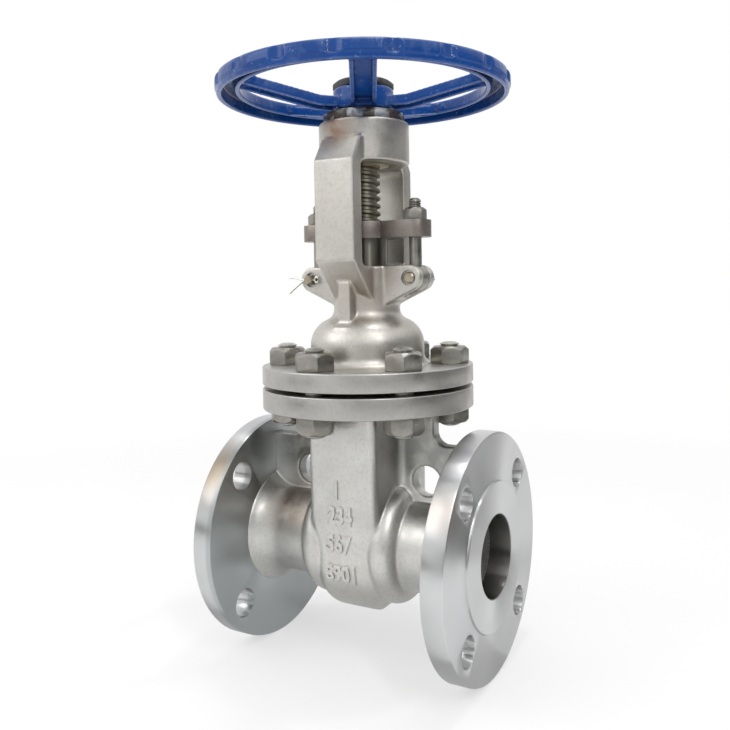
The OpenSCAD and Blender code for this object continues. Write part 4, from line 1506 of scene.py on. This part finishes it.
@dataclass
class WheelHead(Assembly):
    """Retainer ring below the handwheel and the low nut above it."""

    retainer_high: float = 279.0
    retainer_r: float = 26.5
    spigot_low: float = 266.15
    spigot_r: float = 21.2
    nut_h: float = 5.5
    nut_af: float = 34.5
    nut_hole_d: float = 27.0

    def build(self, grease: Finish, steel: Finish) -> None:
        """Models and dresses both pieces."""
        r, low, high = self.retainer_r, BOSS_TOP, self.retainer_high
        section = [(SLEEVE_R, self.spigot_low), (self.spigot_r, self.spigot_low),
                   (self.spigot_r, low), (r - 0.8, low), (r, low + 0.8), (r, high - 1.4),
                   (r - 0.5, high - 0.5), (r - 1.4, high), (SLEEVE_R, high)]
        ring = Bench.lathe("sleeve_retainer_ring", section, Axis.Z, 96)
        self.hand_over(ring, grease, "retainer_steel", Body.VALVE, ("sleeve_retainer",))
        nut = Bolting.nut("wheel_nut_turned", self.nut_af, self.nut_hole_d, self.nut_h,
                          HUB_TOP, 1.6, 0.3)
        self.hand_over(nut, steel, "wheel_nut_steel", Body.WHEEL, ("wheel_nut",))


# ---- Studio --------------------------------------------------------------------------


@dataclass
class Studio:
    """Pale floor, soft lamps, dark cards that the steel mirrors, a grey sheet under the valve as
    painted shadow in its reflections, and the camera.
    """

    floor_z: float = -76.3
    azimuth: float = 28.81
    elevation: float = 2.16
    roll: float = -0.94
    distance: float = 518.31
    target: Place = (12.12, 0.0, 146.46)
    lens: float = 39.08
    shift: Point = (-0.0250, -0.0649)

    def camera(self) -> None:
        """Places the camera."""
        az, el, roll = (math.radians(a) for a in (self.azimuth, self.elevation, self.roll))
        right = Vector((math.cos(az), math.sin(az), 0))
        back = Vector((math.sin(az) * math.cos(el), -math.cos(az) * math.cos(el), math.sin(el)))
        up = back.cross(right)
        turned_right = math.cos(roll) * right + math.sin(roll) * up
        turned_up = -math.sin(roll) * right + math.cos(roll) * up
        place = (Vector(self.target) + Vector((STEM_X, 0, 0)) + back * self.distance) * MM
        data = bpy.data.cameras.new("camera")
        data.lens = self.lens
        data.sensor_width = 36.0
        data.shift_x, data.shift_y = self.shift
        data.clip_start = 0.01
        camera = bpy.data.objects.new("camera", data)
        rotation = Matrix((turned_right, turned_up, back)).transposed().to_4x4()
        camera.matrix_world = Matrix.Translation(place) @ rotation
        bpy.context.scene.collection.objects.link(camera)
        bpy.context.scene.camera = camera

    @staticmethod
    def aimed(place: Place, facing: Place, track: str) -> Matrix:
        """Gives the pose of a thing whose track axis points at a place.

        Args:
            place: Where it is, in metres from the stem's crossing with the pipe.
            facing: Where it points, in the same measure.
            track: Its axis that points there.

        Returns:
            Its matrix in the shared frame.
        """
        spot = Vector(place) + Vector((STEM_X * MM, 0, 0))
        turn = (Vector(facing) - Vector(place)).to_track_quat(track, "Y")
        return Matrix.Translation(spot) @ turn.to_matrix().to_4x4()

    def lamp(self, name: str, place: Place, size: Point, power: float) -> None:
        """Hangs a soft lamp that points at the valve's middle.

        Args:
            name: Name of the lamp.
            place: Place in metres from the stem's crossing with the pipe.
            size: Width and height in metres.
            power: Power in watts.
        """
        data = bpy.data.lights.new(name, "AREA")
        data.shape = "RECTANGLE"
        data.size, data.size_y = size
        data.energy = power
        lamp = bpy.data.objects.new(name, data)
        lamp.matrix_world = self.aimed(place, MIDDLE, "-Z")
        bpy.context.scene.collection.objects.link(lamp)

    def card(self, name: str, place: Place, size: Point,
             grey: float, facing: Place = MIDDLE) -> None:
        """Stands a matt card that only the steel mirrors.

        Args:
            name: Name of the card.
            place: Its middle in metres from the stem's crossing with the pipe.
            size: Width and height in metres.
            grey: Its brightness.
            facing: Point that it faces, in the same measure.
        """
        card = Bench.start(name, bpy.ops.mesh.primitive_plane_add, size=1.0)
        card.data.transform(self.aimed(place, facing, "Z") @ Matrix.Diagonal((*size, 1, 1)))
        tree = Tree(name)
        shader = tree.add("ShaderNodeEmission", {"Color": (grey, grey, grey, 1), "Strength": 1.0})
        card.data.materials.append(tree.output(shader))
        card.visible_camera = False
        card.visible_shadow = False
        card.visible_diffuse = False

    def floor(self) -> None:
        """Lays the pale floor, which fades into the white surroundings."""
        floor = Bench.start("floor", bpy.ops.mesh.primitive_circle_add, vertices=96, radius=30.0,
                            fill_type="NGON", location=(STEM_X * MM, 0, self.floor_z * MM))
        bpy.ops.object.transform_apply(location=True, rotation=True, scale=True)
        tree = Tree("pale_floor")
        matt = tree.add("ShaderNodeBsdfDiffuse", {"Color": (0.96, 0.96, 0.96, 1.0)})
        white = tree.add("ShaderNodeEmission", {"Color": (1, 1, 1, 1), "Strength": 1.0})
        far = tree.maths("SUBTRACT", 1.0, tree.near((0, 0, self.floor_z), 900))
        seen = tree.add("ShaderNodeLightPath").outputs["Is Camera Ray"]
        far = tree.maths("MAXIMUM", far, tree.maths("MULTIPLY", seen, 0.5))
        shader = tree.add("ShaderNodeMixShader", {0: far, 1: matt.outputs[0], 2: white.outputs[0]})
        floor.data.materials.append(tree.output(shader))

    def world(self) -> None:
        """Makes the surroundings white to the camera and in the steel."""
        world = bpy.data.worlds.new("studio")
        bpy.context.scene.world = world
        graph = Graph(world)
        path = graph.add("ShaderNodeLightPath").outputs
        mirrored = graph.maths("MAXIMUM", path["Is Glossy Ray"], path["Is Transmission Ray"])
        seen = graph.maths("MAXIMUM", path["Is Camera Ray"], mirrored)
        strength = graph.spread(seen, 0.0, 1.0, 0.75, 1.0)
        background = graph.add("ShaderNodeBackground",
                               {"Color": (1, 1, 1, 1), "Strength": strength})
        graph.add("ShaderNodeOutputWorld", {"Surface": background.outputs[0]})

    def build(self) -> None:
        """Sets the whole studio up."""
        self.world()
        self.floor()
        self.camera()
        self.lamp("key_lamp", (-0.80, -0.85, 0.90), (0.9, 0.75), 4.0)
        self.lamp("top_lamp", (0.0, 0.05, 1.30), (0.5, 0.5), 2.0)
        self.lamp("strip_lamp", (0.72, -0.62, 0.95), (0.07, 0.7), 3.4)
        self.lamp("spark_lamp", (0.12, 0.10, 1.15), (0.06, 0.06), 1.2)
        self.card("card_front", (0.70, -1.12, 0.15), (1.30, 0.50), 0.36)
        self.card("card_right", (1.35, 0.10, 0.25), (1.8, 0.90), 0.13)
        self.card("card_back", (0.73, 1.17, 0.30), (0.9, 0.60), 0.24)
        self.card("card_left", (-0.86, -0.92, 0.02), (0.9, 0.15), 0.08, (0.0, 0.0, 0.02))
        self.card("card_low", (0.39, 0.22, -0.035), (0.42, 0.08), 0.02, (0.0, 0.0, -0.035))
        # Painted shadow: a grey sheet under the valve that only the steel mirrors, darkening the
        # reflected floor.
        self.card("painted_shadow_sheet", (-0.02, -0.02, -0.0759), (0.26, 0.10), 0.55, (-0.02, -0.02, 1.0))
        bpy.context.scene.view_settings.view_transform = "Standard"


def dress(finish: Finish, nodes: tuple[str, ...]) -> None:
    """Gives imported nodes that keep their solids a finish."""
    for name in nodes:
        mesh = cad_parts[name].data
        if not mesh.materials:
            mesh.materials.append(finish)
        for i in range(len(mesh.materials)):
            mesh.materials[i] = finish
        LOG.info("%s: dressed as %s", name, finish.name)


def main() -> None:
    """Builds the valve's looks and the studio."""
    logging.basicConfig(level=logging.INFO, format="%(message)s")
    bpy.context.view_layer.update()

    neck_tints = (StainAndShadePatch((-46.0, -18.0, 22.0), 28.0, share=1.0, tone=(0.24, 0.185, 0.14)),
                  StainAndShadePatch((-30.0, -8.0, 34.0), 14.0, share=0.9),
                  # Painted shade: these two dark patches darken the webs beside the necks, where
                  # shade falls.
                  StainAndShadePatch((-44.0, 0.0, 62.0), 32.0, (1, 1, 1), 0.9, (0.12, 0.12, 0.11), 0.5),
                  StainAndShadePatch((44.0, 0.0, 62.0), 32.0, (1, 1, 1), 0.7, (0.17, 0.17, 0.165), 0.5),
                  # A darker vertical band on the chamber's right side.
                  StainAndShadePatch((24.0, -25.0, 40.0), 17.0, (5, 1, 0.5), 1.0, (0.40, 0.395, 0.38), 0.5))
    boss_tints = (StainAndShadePatch((-4.0, -28.0, 267.0), 17.0, (1.0, 1.0, 0.8), 1.0, (0.26, 0.17, 0.12)),
                  StainAndShadePatch((8.0, -18.0, 168.0), 26.0, (1.0, 1.0, 1.0), 0.35),
                  # Painted shade: this dark khaki patch darkens the inside of the yoke's window and
                  # the stuffing box below the gland flange.
                  StainAndShadePatch((0.0, 0.0, 222.0), 27.5, (1, 1, 0.62), 1.0, (0.25, 0.235, 0.165), 0.85))
    flange_tints = (StainAndShadePatch((-80.0, -58.0, 50.0), 30.0, (1, 1, 1), 0.9, (0.34, 0.28, 0.21)),
                    StainAndShadePatch((80.0, -62.0, 42.0), 17.0, (1, 1, 1), 0.5, (0.46, 0.38, 0.31)),
                    # Painted shade and reflection: the inlet flange's back, which faces the body,
                    # is darker blue-grey.
                    StainAndShadePatch((-73.5, 0.0, 0.0), 95.0, (14, 1, 1), 0.5, (0.33, 0.37, 0.38), 0.85),
                    # Painted shade: the bores of both end flanges are darkened.
                    StainAndShadePatch((84.0, 0.0, 0.0), 26.4, (0, 1, 1), 0.85, (0.12, 0.115, 0.10), 0.97))
    body_cast = CastSteel("blasted_body", tints=neck_tints).build()
    bonnet_cast = CastSteel("blasted_bonnet", tone=(0.57, 0.55, 0.51),
                            shade=(0.38, 0.365, 0.33), tints=boss_tints).build()
    joint_rim = CastSteel("blasted_joint_flange", tone=(0.46, 0.45, 0.43),
                          shade=(0.33, 0.32, 0.30), roughness=0.36).build()
    faced = TurnedSteel("faced_flange", tints=flange_tints).build()
    gland_cast = CastSteel("brown_gland_flange", tone=(0.27, 0.24, 0.22),
                           shade=(0.17, 0.15, 0.135), roughness=0.38).build()
    bolts = BoltSteel("dark_bolting").build()
    studs = BoltSteel("rolled_stud", tone=(0.52, 0.51, 0.47), shade=(0.28, 0.27, 0.24)).build()
    blackened = BoltSteel("blackened_nut", tone=(0.06, 0.065, 0.07),
                          shade=(0.035, 0.035, 0.035)).build()
    pins = BoltSteel("browned_pin", tone=(0.46, 0.41, 0.32), shade=(0.16, 0.11, 0.08)).build()
    bright = BoltSteel("bright_wire", tone=(0.66, 0.65, 0.60), shade=(0.42, 0.40, 0.36),
                       roughness=0.28).build()
    # Khaki stem steel, darkened as painted shade for the inside of the yoke's window.
    turned_stem = TurnedSteel("turned_stem", Axis.Z, (0.30, 0.285, 0.225), (0.18, 0.17, 0.13),
                              0.34, 0.8, 0.01, 0.4).build()
    seat = TurnedSteel("lapped_seat", Axis.X, (0.62, 0.62, 0.61), (0.45, 0.45, 0.44), 0.22).build()
    # Dark brown gland, darkened further as painted shade under the gland flange.
    gland_metal = TurnedSteel("turned_gland", Axis.Z, (0.15, 0.145, 0.12), (0.10, 0.095, 0.08),
                              0.34).build()
    sleeve_metal = TurnedSteel("bronze_sleeve", Axis.Z, (0.50, 0.42, 0.27), (0.30, 0.24, 0.15),
                               0.32).build()
    graphite = Compound("graphite", roughness=0.55, lumps=0.05, scale=500).build()
    grease = Compound("black_grease", (0.012, 0.011, 0.010), (0.06, 0.045, 0.035), 0.30, 1.0,
                      170, 0.9).build()
    enamel = Enamel("blue_enamel").build()

    PipeBody().build(body_cast, faced, joint_rim)
    Bonnet().build(bonnet_cast, joint_rim)
    Bolting().build(bolts, studs)
    Gland().build(gland_cast, bolts, pins, bright)
    Stem().build(turned_stem)
    Handwheel().build(enamel)
    WheelHead().build(grease, blackened)
    dress(seat, ("seat_ring_inlet", "seat_ring_outlet", "gate"))
    dress(graphite, ("bonnet_gasket", "stem_packing"))
    dress(gland_metal, ("gland",))
    dress(sleeve_metal, ("yoke_sleeve",))
    Studio().build()


if __name__ == "__main__":
    main()
